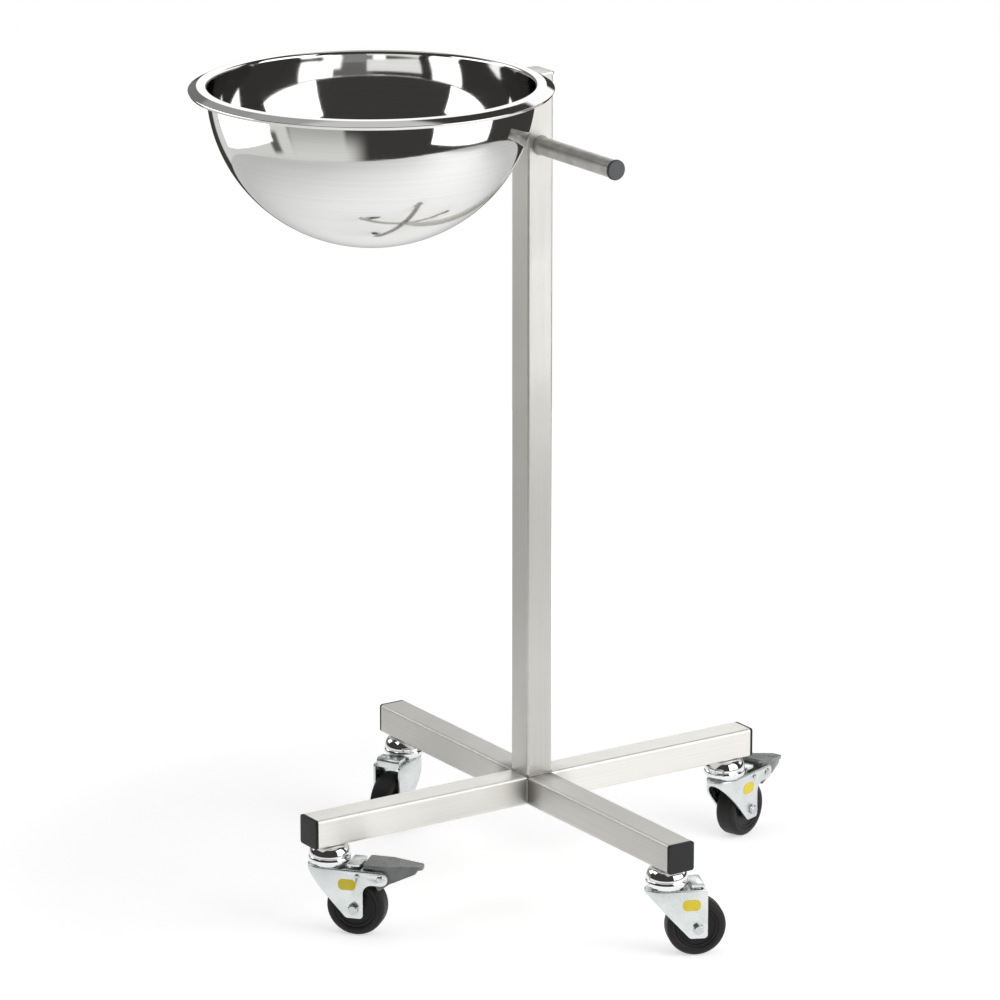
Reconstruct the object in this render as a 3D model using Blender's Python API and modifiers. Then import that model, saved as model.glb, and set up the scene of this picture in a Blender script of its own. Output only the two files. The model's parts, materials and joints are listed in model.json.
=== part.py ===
"""Wheeled basin stand: a square tube post on a cross of the same tube, four swivel castors,
a push handle and one lift-out round basin that hangs by its curled rim on a rod ring.

Metres, +Z up. The origin is on the floor under the post. The basin hangs over the -X arm
and the handle points along -Y.
"""

import math

import bmesh
import bpy
from mathutils import Matrix, Vector

# Clearance between pieces that touch
FIT = 0.0003

# Square tube of the post and the arms
TUBE_SIDE = 0.032
TUBE_WALL = 0.0015
TUBE_CORNER = 0.003
BASE_SPAN = 0.565
POST_LENGTH = 0.766

# Plastic plugs in the arm ends
PLUG_HEAD = 0.003
PLUG_CROWN = 0.0012
PLUG_INSERT = 0.009

# Plate on top of the post, which carries the ring
PLATE_THICKNESS = 0.003
PLATE_OVERHANG = 0.001

# Push handle on the post
HANDLE_DIAMETER = 0.019
HANDLE_WALL = 0.0015
HANDLE_REACH = 0.140
HANDLE_DROP = 0.077
HANDLE_PLUG_LIP = 0.00125
HANDLE_PLUG_HEAD = 0.003
HANDLE_PLUG_EDGE = 0.001
HANDLE_PLUG_INSERT = 0.012

# Basin and the ring that it hangs on
BASIN_RADIUS = 0.169
BASIN_HEIGHT = 0.165
BASIN_SHEET = 0.0012
BASIN_FLAT = 0.030
BASIN_STANDOFF = 0.013
RIM_WIDTH = 0.019
RIM_LIP_TURN = math.radians(50)
RING_ROD = 0.007

# Castor wheel
WHEEL_DIAMETER = 0.0635
WHEEL_WIDTH = 0.024
TYRE_DEPTH = 0.009
TYRE_SHOULDER = 0.006
WHEEL_SIDE_GAP = 0.0025
HUB_DIAMETER = 0.022
HUB_END_GAP = 0.0006
CORE_WEB = 0.010
CORE_RIM = 0.003
BUSH_WALL = 0.002

# Castor fork, pressed from sheet
CASTOR_TRAIL = 0.0305
FORK_SHEET = 0.0025
FORK_NOSE = 0.024
FORK_SKIRT = 0.0006
FORK_BOSS = 0.0103
FORK_FRONT_FOOT = 0.0083
FORK_CORNER = 0.004
TONGUE_GAP = 0.0008
TONGUE_SIDE = 0.002
TONGUE_LENGTH = 0.0147
TONGUE_CORNER = 0.005
TONGUE_FLANGE = 0.010
TONGUE_BEND = 0.004
CROWN_CLEARANCE = 0.0093

# Castor swivel head
RACE_GAP = 0.0035
RACE_RADIUS = 0.0145
RACE_WIDTH = 0.005
RACE_RISE = 0.004
CUP_DIAMETER = 0.046
CUP_HEIGHT = 0.0193
CUP_GROOVE = 0.0014
CUP_EDGE = 0.0026
KING_BOLT = 0.010
KING_HEAD_DIAMETER = 0.016
KING_HEAD_HEIGHT = 0.004
KING_HEAD_EDGE = 0.001
KING_NUT_WIDTH = 0.016
KING_NUT_HEIGHT = 0.008
KING_BOLT_END = 0.002
NUT_SPACE = 0.0053

# Castor axle
AXLE = 0.006
AXLE_HEAD_WIDTH = 0.010
AXLE_HEAD_HEIGHT = 0.004
AXLE_NUT_HEIGHT = 0.005
AXLE_END = 0.0015

# Brake pedal of the braked castors
PIN = 0.005
PIN_HEAD = 0.008
PIN_HEAD_HEIGHT = 0.0012
STOP_PIN = 0.003
STOP_HEAD = 0.005
STOP_BACK = 0.0043
STOP_UNDER = 0.0063
PIN_CLEARANCE = 0.0148
PIN_ANGLE = math.radians(50.2)
EAR_RADIUS = 0.0078
EAR_NOTCH = 0.010
PEDAL_WIDTH = 0.034
PEDAL_TIP_WIDTH = 0.012
PEDAL_TONGUE_GAP = 0.0025
PEDAL_SHOULDER = 0.006
PEDAL_TIP = 0.0427
PEDAL_DECK = 0.004
PEDAL_EAR_GAP = 0.0026
PEDAL_HUB = 0.0075
PEDAL_HEEL = 0.010
PEDAL_HEEL_RISE = 0.0025
PEDAL_SKIRT_END = 0.037
CAM_GAP = 0.0021
CAM_FORWARD = 0.003
CAM_ROUND = 0.0017
PEDAL_MARGIN = 0.0005
PEDAL_SIDE_GAP = 0.0005

# Tilt of each pedal at rest: the front one is up and the back one is pressed
PEDAL_TILT = {"front_left": math.radians(0.5), "back_right": math.radians(12.0)}

# Castors by corner: arm direction, swivel angle at rest and whether there is a brake
CASTORS = {
    "front_left": ((-1, 0), math.radians(-48.3), True),
    "front_right": ((0, -1), math.radians(-23.5), False),
    "back_left": ((0, 1), math.radians(-151.7), False),
    "back_right": ((1, 0), math.radians(20.0), True),
}

# Facets of round pieces
BASIN_FACETS = 36
WHEEL_FACETS = 24
ROUND_FACETS = 16
SMALL_FACETS = 12
ARC_STEPS = 3
WALL_STEPS = 9
RIM_STEPS = 8
LIP_STEPS = 6
ROD_FACETS = 8
SHOULDER_STEPS = 3

# Heights, from the floor up
AXLE_Z = WHEEL_DIAMETER / 2
CROWN_UNDER = WHEEL_DIAMETER + CROWN_CLEARANCE
CROWN_TOP = CROWN_UNDER + FORK_SHEET
CUP_BOTTOM = CROWN_TOP + RACE_GAP
CUP_TOP = CUP_BOTTOM + CUP_HEIGHT
ARM_BOTTOM = CUP_TOP + FIT
ARM_MIDDLE = ARM_BOTTOM + TUBE_SIDE / 2
ARM_TOP = ARM_BOTTOM + TUBE_SIDE
POST_BOTTOM = ARM_TOP + FIT
PLATE_BOTTOM = POST_BOTTOM + POST_LENGTH + FIT
PLATE_TOP = PLATE_BOTTOM + PLATE_THICKNESS
RING_Z = PLATE_TOP + FIT + RING_ROD / 2
RIM_CREST = RING_Z + RING_ROD / 2 + FIT + BASIN_SHEET

# Curled rim: an ellipse over the ring, from the wall out to the lip
RIM_HALF_WIDTH = (RIM_WIDTH + BASIN_SHEET) / 2
RIM_HALF_HEIGHT = RING_ROD / 2 + BASIN_SHEET / 2
RIM_MIDDLE_RADIUS = BASIN_RADIUS + RIM_WIDTH - RIM_HALF_WIDTH
LIP_RADIUS = RIM_MIDDLE_RADIUS + (RIM_HALF_WIDTH - BASIN_SHEET) * math.cos(RIM_LIP_TURN)
RING_RADIUS = (BASIN_RADIUS + LIP_RADIUS) / 2

# Places in plan
BASIN_X = -(TUBE_SIDE / 2 + BASIN_STANDOFF + BASIN_RADIUS)
ARM_END = BASE_SPAN / 2 - PLUG_HEAD
NUT_CORNER = KING_NUT_WIDTH / math.sqrt(3)
CASTOR_OUT = ARM_END - PLUG_INSERT - NUT_SPACE - NUT_CORNER

# Fork and brake, from the swivel axis
FORK_INSIDE = WHEEL_WIDTH + 2 * WHEEL_SIDE_GAP
FORK_OUTSIDE = FORK_INSIDE + 2 * FORK_SHEET
FORK_FOOT_Z = AXLE_Z - FORK_BOSS
PIN_X = CASTOR_TRAIL + (AXLE_Z + PIN_CLEARANCE) * math.cos(PIN_ANGLE)
PIN_Z = AXLE_Z + (AXLE_Z + PIN_CLEARANCE) * math.sin(PIN_ANGLE)
TONGUE_FRONT = CUP_DIAMETER / 2 + TONGUE_GAP
PEDAL_FRONT = TONGUE_FRONT + TONGUE_LENGTH + PEDAL_TONGUE_GAP - PIN_X
STOP_X = CASTOR_TRAIL + STOP_BACK
STOP_Z = CROWN_TOP - STOP_UNDER
DECK_UNDER = EAR_RADIUS + PEDAL_EAR_GAP

ACROSS = Matrix.Rotation(math.radians(90), 4, "X")
ALONG_X = Matrix.Rotation(math.radians(90), 4, "Y")


def clear_scene():
    """Removes every object that the scene starts with."""
    for obj in list(bpy.data.objects):
        bpy.data.objects.remove(obj, do_unlink=True)


def temporary(name, data):
    """Links a working object to the scene."""
    obj = bpy.data.objects.new(name, data)
    bpy.context.scene.collection.objects.link(obj)
    return obj


def shape_of(obj):
    """The evaluated, welded mesh of a working object, which is then removed."""
    bpy.context.view_layer.update()
    graph = bpy.context.evaluated_depsgraph_get()
    mesh = bpy.data.meshes.new_from_object(obj.evaluated_get(graph))
    bpy.data.objects.remove(obj, do_unlink=True)
    work = bmesh.new()
    work.from_mesh(mesh)
    bmesh.ops.remove_doubles(work, verts=work.verts, dist=1e-6)
    work.to_mesh(mesh)
    work.free()
    return mesh


def rounded(corners):
    """An outline through (x, y, radius) corners, each rounded as far as its edges have room."""
    points = []
    count = len(corners)
    for index, (x, y, radius) in enumerate(corners):
        corner = Vector((x, y))
        before = Vector(corners[index - 1][:2]) - corner
        after = Vector(corners[(index + 1) % count][:2]) - corner
        if radius <= 0:
            points.append(corner)
            continue
        half = before.angle(after) / 2
        reach = min(radius / math.tan(half), 0.49 * before.length, 0.49 * after.length)
        radius = reach * math.tan(half)
        towards = before.normalized()
        away = after.normalized()
        centre = corner + (towards + away).normalized() * radius / math.sin(half)
        start = corner + towards * reach - centre
        turn = start.angle_signed(corner + away * reach - centre)
        for step in range(ARC_STEPS + 1):
            points.append(centre + Matrix.Rotation(-turn * step / ARC_STEPS, 2) @ start)
    return points


def square(side, radius):
    """The corners of a centred square."""
    half = side / 2
    signs = [(1, 1), (-1, 1), (-1, -1), (1, -1)]
    return rounded([(half * x, half * y, radius) for x, y in signs])


def circle(radius, facets):
    """A regular polygon round the origin."""
    return [Vector((radius, 0)) @ Matrix.Rotation(2 * math.pi * step / facets, 2) for step in range(facets)]


def hexagon(width):
    """A hexagon of this width across its flats."""
    return circle(width / math.sqrt(3), 6)


def slab(loops, thickness):
    """A flat outline, with any inner loops as holes, thickened evenly about z = 0."""
    curve = bpy.data.curves.new("outline", "CURVE")
    curve.dimensions = "2D"
    curve.fill_mode = "BOTH"
    curve.extrude = thickness / 2
    for loop in loops:
        spline = curve.splines.new("POLY")
        spline.points.add(len(loop) - 1)
        for point, place in zip(spline.points, loop):
            point.co = (place[0], place[1], 0, 1)
        spline.use_cyclic_u = True
    mesh = shape_of(temporary("slab", curve))
    bpy.data.curves.remove(curve)
    return mesh


def upright(loops, bottom, top):
    """A flat outline raised from one height to another."""
    mesh = slab(loops, top - bottom)
    mesh.transform(Matrix.Translation((0, 0, (bottom + top) / 2)))
    return mesh


def sideways(outline, width):
    """An outline drawn in x and z, thickened evenly across y."""
    mesh = slab([outline], width)
    mesh.transform(ACROSS)
    return mesh


def turned(profile, facets, closed=False):
    """A shape of revolution about z, from (radius, z) points that run down its outer side."""
    mesh = bpy.data.meshes.new("profile")
    work = bmesh.new()
    line = [work.verts.new((radius, 0, z)) for radius, z in profile]
    for first, second in zip(line, line[1:]):
        work.edges.new((first, second))
    if closed:
        work.edges.new((line[-1], line[0]))
    work.to_mesh(mesh)
    work.free()
    obj = temporary("turned", mesh)
    screw = obj.modifiers.new("turn", "SCREW")
    screw.steps = facets
    screw.render_steps = facets
    screw.use_merge_vertices = True
    screw.merge_threshold = 1e-5
    return shape_of(obj)


def pipe(outer, inner, bottom, top, facets):
    """A round sleeve."""
    return turned([(outer, top), (outer, bottom), (inner, bottom), (inner, top)], facets, closed=True)


def rod(radius, bottom, top, facets=SMALL_FACETS):
    """A plain round bar."""
    return turned([(0, top), (radius, top), (radius, bottom), (0, bottom)], facets)


def combined(base, operation, *tools):
    """The base mesh after a Boolean with each tool mesh in turn."""
    for tool_mesh in tools:
        obj = temporary("base", base)
        tool = temporary("tool", tool_mesh)
        boolean = obj.modifiers.new("join", "BOOLEAN")
        boolean.operation = operation
        boolean.object = tool
        boolean.solver = "EXACT"
        base = shape_of(obj)
        bpy.data.objects.remove(tool, do_unlink=True)
    return base


def moved(mesh, *matrices):
    """The mesh after each matrix in turn."""
    for matrix in matrices:
        mesh.transform(matrix)
    return mesh


def shift(x=0, y=0, z=0):
    """A translation."""
    return Matrix.Translation((x, y, z))


def tube_along_x(length):
    """A length of the square tube, centred, lying along x."""
    inner = square(TUBE_SIDE - 2 * TUBE_WALL, max(TUBE_CORNER - TUBE_WALL, FIT))
    return moved(slab([square(TUBE_SIDE, TUBE_CORNER), inner], length), ALONG_X)


def bolt_hole(x):
    """A cutter for the castor bolt through the underside of an arm."""
    middle = -TUBE_SIDE / 2 + TUBE_WALL / 2
    return moved(rod(KING_BOLT / 2 + FIT, middle - TUBE_WALL, middle + TUBE_WALL), shift(x))


def long_arm_mesh():
    """The arm that runs right through, with a bolt hole near each end."""
    tube = tube_along_x(2 * (ARM_END - FIT))
    return combined(tube, "DIFFERENCE", bolt_hole(CASTOR_OUT), bolt_hole(-CASTOR_OUT))


def short_arm_mesh():
    """An arm from the side of the long one out to a castor, drawn along +x from the post axis."""
    start = TUBE_SIDE / 2 + FIT
    end = ARM_END - FIT
    tube = moved(tube_along_x(end - start), shift((start + end) / 2))
    return combined(tube, "DIFFERENCE", bolt_hole(CASTOR_OUT))


def arm_plug_mesh():
    """A plug with a low pyramid on its head and an insert that fits the tube, facing +x."""
    head = slab([square(TUBE_SIDE, TUBE_CORNER)], PLUG_HEAD)
    work = bmesh.new()
    work.from_mesh(head)
    bmesh.ops.dissolve_limit(work, angle_limit=math.radians(1), verts=work.verts, edges=work.edges)
    faces = sorted(work.faces, key=lambda face: face.calc_center_median().z)
    back, front = faces[0], faces[-1]
    peak = bmesh.ops.poke(work, faces=[front])["verts"][0]
    peak.co.z += PLUG_CROWN
    bmesh.ops.inset_region(work, faces=[back], thickness=TUBE_WALL + FIT)
    insert = bmesh.ops.extrude_face_region(work, geom=[back])
    bmesh.ops.delete(work, geom=[back], context="FACES_ONLY")
    ends = [item for item in insert["geom"] if isinstance(item, bmesh.types.BMVert)]
    bmesh.ops.translate(work, verts=ends, vec=(0, 0, -PLUG_INSERT))
    bmesh.ops.recalc_face_normals(work, faces=work.faces)
    work.to_mesh(head)
    work.free()
    return moved(head, shift(z=PLUG_HEAD / 2), ALONG_X)


def top_plate_mesh():
    """The plate on the post, long enough on the basin's side to carry the ring."""
    back = TUBE_SIDE / 2 + PLATE_OVERHANG
    front = BASIN_X + RING_RADIUS - RING_ROD / 2 - FIT
    side = TUBE_SIDE / 2 + PLATE_OVERHANG
    corner = TUBE_CORNER
    outline = [(back, side, corner), (front, side, corner), (front, -side, corner), (back, -side, corner)]
    return upright([rounded(outline)], PLATE_BOTTOM, PLATE_TOP)


def handle_mesh():
    """The handle's round tube, drawn along +z from the post's face."""
    radius = HANDLE_DIAMETER / 2
    return pipe(radius, radius - HANDLE_WALL, FIT, HANDLE_REACH - HANDLE_PLUG_HEAD - FIT, ROUND_FACETS)


def handle_plug_mesh():
    """The handle's end plug, with a rounded head wider than the tube, drawn along +z."""
    head = HANDLE_DIAMETER / 2 + HANDLE_PLUG_LIP
    stem = HANDLE_DIAMETER / 2 - HANDLE_WALL - FIT
    edge = HANDLE_PLUG_EDGE
    seat = HANDLE_REACH - HANDLE_PLUG_HEAD
    profile = [
        (0, HANDLE_REACH),
        (head - edge, HANDLE_REACH),
        (head, HANDLE_REACH - edge),
        (head, seat),
        (stem, seat),
        (stem, seat - HANDLE_PLUG_INSERT),
        (0, seat - HANDLE_PLUG_INSERT),
    ]
    return turned(profile, ROUND_FACETS)


def ellipse(centre, half_width, half_height, start, end, steps):
    """Points along an ellipse, by angle from the outward direction."""
    points = []
    for step in range(steps + 1):
        angle = start + (end - start) * step / steps
        points.append((centre[0] + half_width * math.cos(angle), centre[1] + half_height * math.sin(angle)))
    return points


def basin_mesh():
    """The pressed basin: bowl, flat foot and curled rim, all of one sheet, with its crest at z = 0."""
    rim = (RIM_MIDDLE_RADIUS, -RIM_HALF_HEIGHT)
    depth = (BASIN_HEIGHT - RIM_HALF_HEIGHT) / math.sqrt(1 - (BASIN_FLAT / BASIN_RADIUS) ** 2)
    wall_end = math.acos(BASIN_FLAT / BASIN_RADIUS)
    middle = (0, -RIM_HALF_HEIGHT)
    inner = ellipse(middle, BASIN_RADIUS - BASIN_SHEET, depth - BASIN_SHEET, -wall_end, 0, WALL_STEPS)
    outer = ellipse(middle, BASIN_RADIUS, depth, 0, -wall_end, WALL_STEPS)
    over = ellipse(rim, RIM_HALF_WIDTH, RIM_HALF_HEIGHT, math.pi, -RIM_LIP_TURN, RIM_STEPS)
    inside_width = RIM_HALF_WIDTH - BASIN_SHEET
    inside_height = RIM_HALF_HEIGHT - BASIN_SHEET
    under = ellipse(rim, inside_width, inside_height, -RIM_LIP_TURN, math.pi, LIP_STEPS)
    floor_z = inner[0][1]
    foot_z = outer[-1][1]
    profile = [(0, floor_z)] + inner[:-1] + over + under[:-1] + outer + [(0, foot_z)]
    return turned(profile, BASIN_FACETS)


def ring_mesh():
    """The rod ring that the basin's rim hangs on."""
    section = [(RING_RADIUS + point.x, point.y) for point in circle(RING_ROD / 2, ROD_FACETS)]
    return turned(section, BASIN_FACETS, closed=True)


def fork_outline(braked):
    """The side view of a fork, from its crown round the foot at the axle and back to the nose."""
    front = -FORK_NOSE - FORK_SHEET
    back = CASTOR_TRAIL + FORK_BOSS
    nose = [(CASTOR_TRAIL - FORK_FRONT_FOOT, FORK_FOOT_Z, FORK_BOSS / 2), (front, CROWN_TOP - FORK_SKIRT, 0)]
    ear = EAR_RADIUS
    top = [(back, CROWN_TOP, FORK_CORNER)]
    if braked:
        top = [
            (CASTOR_TRAIL, CROWN_TOP, FORK_CORNER),
            (PIN_X + ear, PIN_Z + ear, ear),
            (PIN_X + ear, PIN_Z - ear, ear),
            (back, PIN_Z - ear, EAR_NOTCH),
        ]
    return rounded([(front, CROWN_TOP, 0)] + top + [(back, FORK_FOOT_Z, FORK_CORNER)] + nose)


def fork_plan(nose, half_width, back):
    """The plan of the fork's hood: a round nose that runs into two straight sides."""
    arc = ellipse((0, 0), nose, half_width, math.pi / 2, 3 * math.pi / 2, 4 * ARC_STEPS)
    return [(back, -half_width), (back, half_width)] + arc


def fork_tongue(braked):
    """The tongue behind the swivel cup: a riser on the crown and a plate, bent down at its back where no pedal is."""
    front = TONGUE_FRONT
    back = front + TONGUE_LENGTH
    half = FORK_OUTSIDE / 2 - TONGUE_SIDE
    under = CUP_BOTTOM
    top = under + FORK_SHEET
    if braked:
        round_end = [(back, -half, TONGUE_CORNER), (back, half, TONGUE_CORNER)]
        plate = upright([rounded([(front, -half, 0)] + round_end + [(front, half, 0)])], under, top)
    else:
        half = FORK_INSIDE / 2 - FIT
        inner = back - FORK_SHEET
        foot = top - TONGUE_FLANGE
        outside = [(front, under, 0), (front, top, 0), (back, top, TONGUE_BEND), (back, foot, 0)]
        inside = [(inner, foot, 0), (inner, under, TONGUE_BEND - FORK_SHEET)]
        plate = sideways(rounded(outside + inside), 2 * half)
    half -= FORK_SHEET
    start = front + FORK_SHEET / 4
    end = start + FORK_SHEET
    riser_loop = [(start, -half), (end, -half), (end, half), (start, half)]
    riser = upright([riser_loop], CROWN_TOP - FORK_SHEET / 2, under + FORK_SHEET / 2)
    return combined(plate, "UNION", riser)


def fork_mesh(braked):
    """A pressed fork: a hood cut to the side view, with a stepped tongue behind, and its holes."""
    margin = FORK_SHEET
    back = (PIN_X + EAR_RADIUS if braked else CASTOR_TRAIL + FORK_BOSS) + margin
    hood = upright([fork_plan(FORK_NOSE, FORK_OUTSIDE / 2, back)], FORK_FOOT_Z - margin, CROWN_TOP + margin)
    inside = fork_plan(FORK_NOSE - FORK_SHEET, FORK_INSIDE / 2, back + margin)
    hollow = upright([inside], FORK_FOOT_Z - 2 * margin, CROWN_UNDER)
    half = FORK_INSIDE / 2
    crown_back = TONGUE_FRONT + 2 * FORK_SHEET
    slot_loop = [(crown_back, -half), (back + margin, -half), (back + margin, half), (crown_back, half)]
    slot = upright([slot_loop], CROWN_UNDER - margin, CROWN_TOP + 2 * margin)
    across = FORK_OUTSIDE + 2 * margin
    king_hole = rod(KING_BOLT / 2 + FIT, CROWN_UNDER - margin, CROWN_TOP + margin)
    axle_hole = moved(across_rod(AXLE / 2 + FIT, across), shift(CASTOR_TRAIL, 0, AXLE_Z))
    fork = combined(hood, "DIFFERENCE", hollow, slot)
    fork = combined(fork, "INTERSECT", sideways(fork_outline(braked), across))
    fork = combined(fork, "DIFFERENCE", king_hole, axle_hole)
    if braked:
        pin_hole = moved(across_rod(PIN / 2 + FIT, across), shift(PIN_X, 0, PIN_Z))
        stop_hole = moved(across_rod(STOP_PIN / 2 + FIT, across), shift(STOP_X, 0, STOP_Z))
        fork = combined(fork, "DIFFERENCE", pin_hole, stop_hole)
    return combined(fork, "UNION", fork_tongue(braked))


def across_rod(radius, length):
    """A round bar centred on the origin, lying along y."""
    return moved(rod(radius, -length / 2, length / 2), ACROSS)


def cup_mesh():
    """The swivel cup: two stacked rings with a groove between, hollow below over the race at any turn."""
    radius = CUP_DIAMETER / 2
    edge = CUP_EDGE
    bore = KING_BOLT / 2 + FIT
    roof = CUP_BOTTOM + RACE_RISE + FIT
    skirt = (RACE_RADIUS + RACE_WIDTH / 2 + FIT) / math.cos(math.pi / ROUND_FACETS)
    groove = (CUP_BOTTOM + CUP_TOP) / 2
    profile = [
        (radius - 2 * edge, CUP_TOP),
        (radius, CUP_TOP - 2 * edge),
        (radius, groove + CUP_GROOVE),
        (radius - CUP_GROOVE, groove),
        (radius, groove - CUP_GROOVE),
        (radius, CUP_BOTTOM + edge),
        (radius - edge, CUP_BOTTOM),
        (skirt, CUP_BOTTOM),
        (skirt, roof),
        (bore, roof),
        (bore, CUP_TOP),
    ]
    return turned(profile, ROUND_FACETS, closed=True)


def race_mesh():
    """The ball race between the fork's crown and the cup."""
    half = RACE_WIDTH / 2
    bottom = CROWN_TOP + FIT
    top = CUP_BOTTOM + RACE_RISE
    return pipe(RACE_RADIUS + half, RACE_RADIUS - half, bottom, top, ROUND_FACETS)


def king_bolt_mesh():
    """The bolt that holds a castor: its head is under the crown and its end is inside the arm."""
    seat = CROWN_UNDER - FIT
    head = KING_HEAD_DIAMETER / 2
    edge = KING_HEAD_EDGE
    shank = KING_BOLT / 2
    end = ARM_BOTTOM + TUBE_WALL + FIT + KING_NUT_HEIGHT + KING_BOLT_END
    profile = [
        (0, end),
        (shank, end),
        (shank, seat),
        (head, seat),
        (head, seat - KING_HEAD_HEIGHT + edge),
        (head - edge, seat - KING_HEAD_HEIGHT),
        (0, seat - KING_HEAD_HEIGHT),
    ]
    return turned(profile, SMALL_FACETS)


def king_nut_mesh():
    """The nut on the castor bolt, inside the arm."""
    bottom = ARM_BOTTOM + TUBE_WALL + FIT
    loops = [hexagon(KING_NUT_WIDTH), circle(KING_BOLT / 2 + FIT, SMALL_FACETS)]
    return upright(loops, bottom, bottom + KING_NUT_HEIGHT)


def axle_bolt_mesh():
    """The axle: a hexagon-headed bolt across the fork, with its head on the -y side."""
    seat = FORK_OUTSIDE / 2 + FIT
    end = seat + AXLE_NUT_HEIGHT + AXLE_END
    head = upright([hexagon(AXLE_HEAD_WIDTH)], seat, seat + AXLE_HEAD_HEIGHT)
    shank = rod(AXLE / 2, -end, seat + AXLE_HEAD_HEIGHT / 2)
    return moved(combined(head, "UNION", shank), ACROSS)


def axle_nut_mesh():
    """The nut on the end of the axle bolt."""
    seat = FORK_OUTSIDE / 2 + FIT
    loops = [hexagon(AXLE_HEAD_WIDTH), circle(AXLE / 2 + FIT, SMALL_FACETS)]
    return moved(upright(loops, -seat - AXLE_NUT_HEIGHT, -seat), ACROSS)


def bush_mesh():
    """The sleeve on the axle that the wheel turns on."""
    half = FORK_INSIDE / 2 - FIT
    inner = AXLE / 2 + FIT
    return moved(pipe(inner + BUSH_WALL, inner, -half, half, SMALL_FACETS), ACROSS)


def core_mesh():
    """The wheel's centre: a hub, a web and a rim that the tyre sits on."""
    hub_half = FORK_INSIDE / 2 - HUB_END_GAP
    hub = HUB_DIAMETER / 2
    bore = AXLE / 2 + 2 * FIT + BUSH_WALL
    rim = WHEEL_DIAMETER / 2 - TYRE_DEPTH - FIT
    web = CORE_WEB / 2
    rim_half = WHEEL_WIDTH / 2 - TYRE_SHOULDER / 2
    profile = [
        (bore, hub_half),
        (hub, hub_half),
        (hub, web),
        (rim - CORE_RIM, web),
        (rim - CORE_RIM, rim_half),
        (rim, rim_half),
    ]
    lower = [(radius, -z) for radius, z in reversed(profile)]
    return moved(turned(profile + lower, ROUND_FACETS, closed=True), ACROSS)


def tyre_mesh():
    """The round-shouldered tyre."""
    radius = WHEEL_DIAMETER / 2
    inner = radius - TYRE_DEPTH
    half = WHEEL_WIDTH / 2
    bend = TYRE_SHOULDER
    shoulder = ellipse((radius - bend, half - bend), bend, bend, math.pi / 2, 0, SHOULDER_STEPS)
    profile = [(inner, half - TYRE_SHOULDER / 2)] + shoulder
    lower = [(radius_here, -z) for radius_here, z in reversed(profile)]
    return moved(turned(profile + lower, WHEEL_FACETS, closed=True), ACROSS)


def pedal_plan(inset):
    """The plan of a pedal, set in all round: straight sides by the fork, then a taper to the rounded tip."""
    wide = PEDAL_WIDTH / 2 - inset
    narrow = PEDAL_TIP_WIDTH / 2 - inset
    front = PEDAL_FRONT + inset
    tip = PEDAL_TIP - inset
    return rounded(
        [
            (front, -wide, FORK_SHEET),
            (PEDAL_SHOULDER, -wide, 2 * FORK_CORNER),
            (tip, -narrow, FORK_CORNER),
            (tip, narrow, FORK_CORNER),
            (PEDAL_SHOULDER, wide, 2 * FORK_CORNER),
            (front, wide, FORK_SHEET),
        ]
    )


def pedal_mesh():
    """A brake pedal about its pin: a deck, a skirt under it and a cam that meets the tyre."""
    cam_x = -CAM_FORWARD
    reach = AXLE_Z + CAM_GAP
    cam_z = AXLE_Z + math.sqrt(reach**2 - (PIN_X + cam_x - CASTOR_TRAIL) ** 2) - PIN_Z
    into_deck = DECK_UNDER + PEDAL_DECK / 2
    web_side = rounded(
        [
            (-PEDAL_HUB, into_deck, 0),
            (-PEDAL_HUB, -PEDAL_HUB, PEDAL_HUB - FIT),
            (cam_x, cam_z, CAM_ROUND),
            (PEDAL_HEEL, PEDAL_HEEL_RISE - PEDAL_HUB, FORK_CORNER),
            (PEDAL_SKIRT_END, DECK_UNDER - PEDAL_DECK, FORK_CORNER),
            (PEDAL_SKIRT_END, into_deck, 0),
        ]
    )
    deck = upright([pedal_plan(0)], DECK_UNDER, DECK_UNDER + PEDAL_DECK)
    web = sideways(web_side, FORK_INSIDE - 2 * PEDAL_SIDE_GAP)
    limit = upright([pedal_plan(PEDAL_MARGIN)], cam_z - PEDAL_HUB, into_deck + PEDAL_DECK)
    web = combined(web, "INTERSECT", limit)
    pedal = combined(deck, "UNION", web)
    return combined(pedal, "DIFFERENCE", across_rod(PIN / 2 + FIT, 2 * PEDAL_WIDTH))


def rivet_mesh(shank, head):
    """A rivet across the fork, with a head outside each leg."""
    seat = FORK_OUTSIDE / 2 + FIT
    end = seat + PIN_HEAD_HEIGHT
    half = [(0, end), (head / 2, end), (head / 2, seat), (shank / 2, seat)]
    lower = [(radius, -z) for radius, z in reversed(half)]
    return moved(turned(half + lower, SMALL_FACETS), ACROSS)


def material(name, colour, roughness, metallic):
    """A plain material in a piece's own colour."""
    made = bpy.data.materials.new(name)
    made.use_nodes = True
    shader = made.node_tree.nodes["Principled BSDF"]
    shader.inputs["Base Color"].default_value = (*colour, 1)
    shader.inputs["Roughness"].default_value = roughness
    shader.inputs["Metallic"].default_value = metallic
    return made


def make_materials():
    """The finishes of the stand."""
    return {
        "satin_steel": material("satin_steel", (0.62, 0.61, 0.58), 0.35, 1.0),
        "polished_steel": material("polished_steel", (0.75, 0.75, 0.74), 0.05, 1.0),
        "black_plastic": material("black_plastic", (0.045, 0.047, 0.048), 0.45, 0.0),
        "bright_zinc": material("bright_zinc", (0.72, 0.75, 0.76), 0.25, 1.0),
        "chrome": material("chrome", (0.80, 0.81, 0.82), 0.06, 1.0),
        "black_rubber": material("black_rubber", (0.035, 0.034, 0.033), 0.6, 0.0),
        "grey_plastic": material("grey_plastic", (0.16, 0.17, 0.175), 0.4, 0.0),
    }


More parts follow.
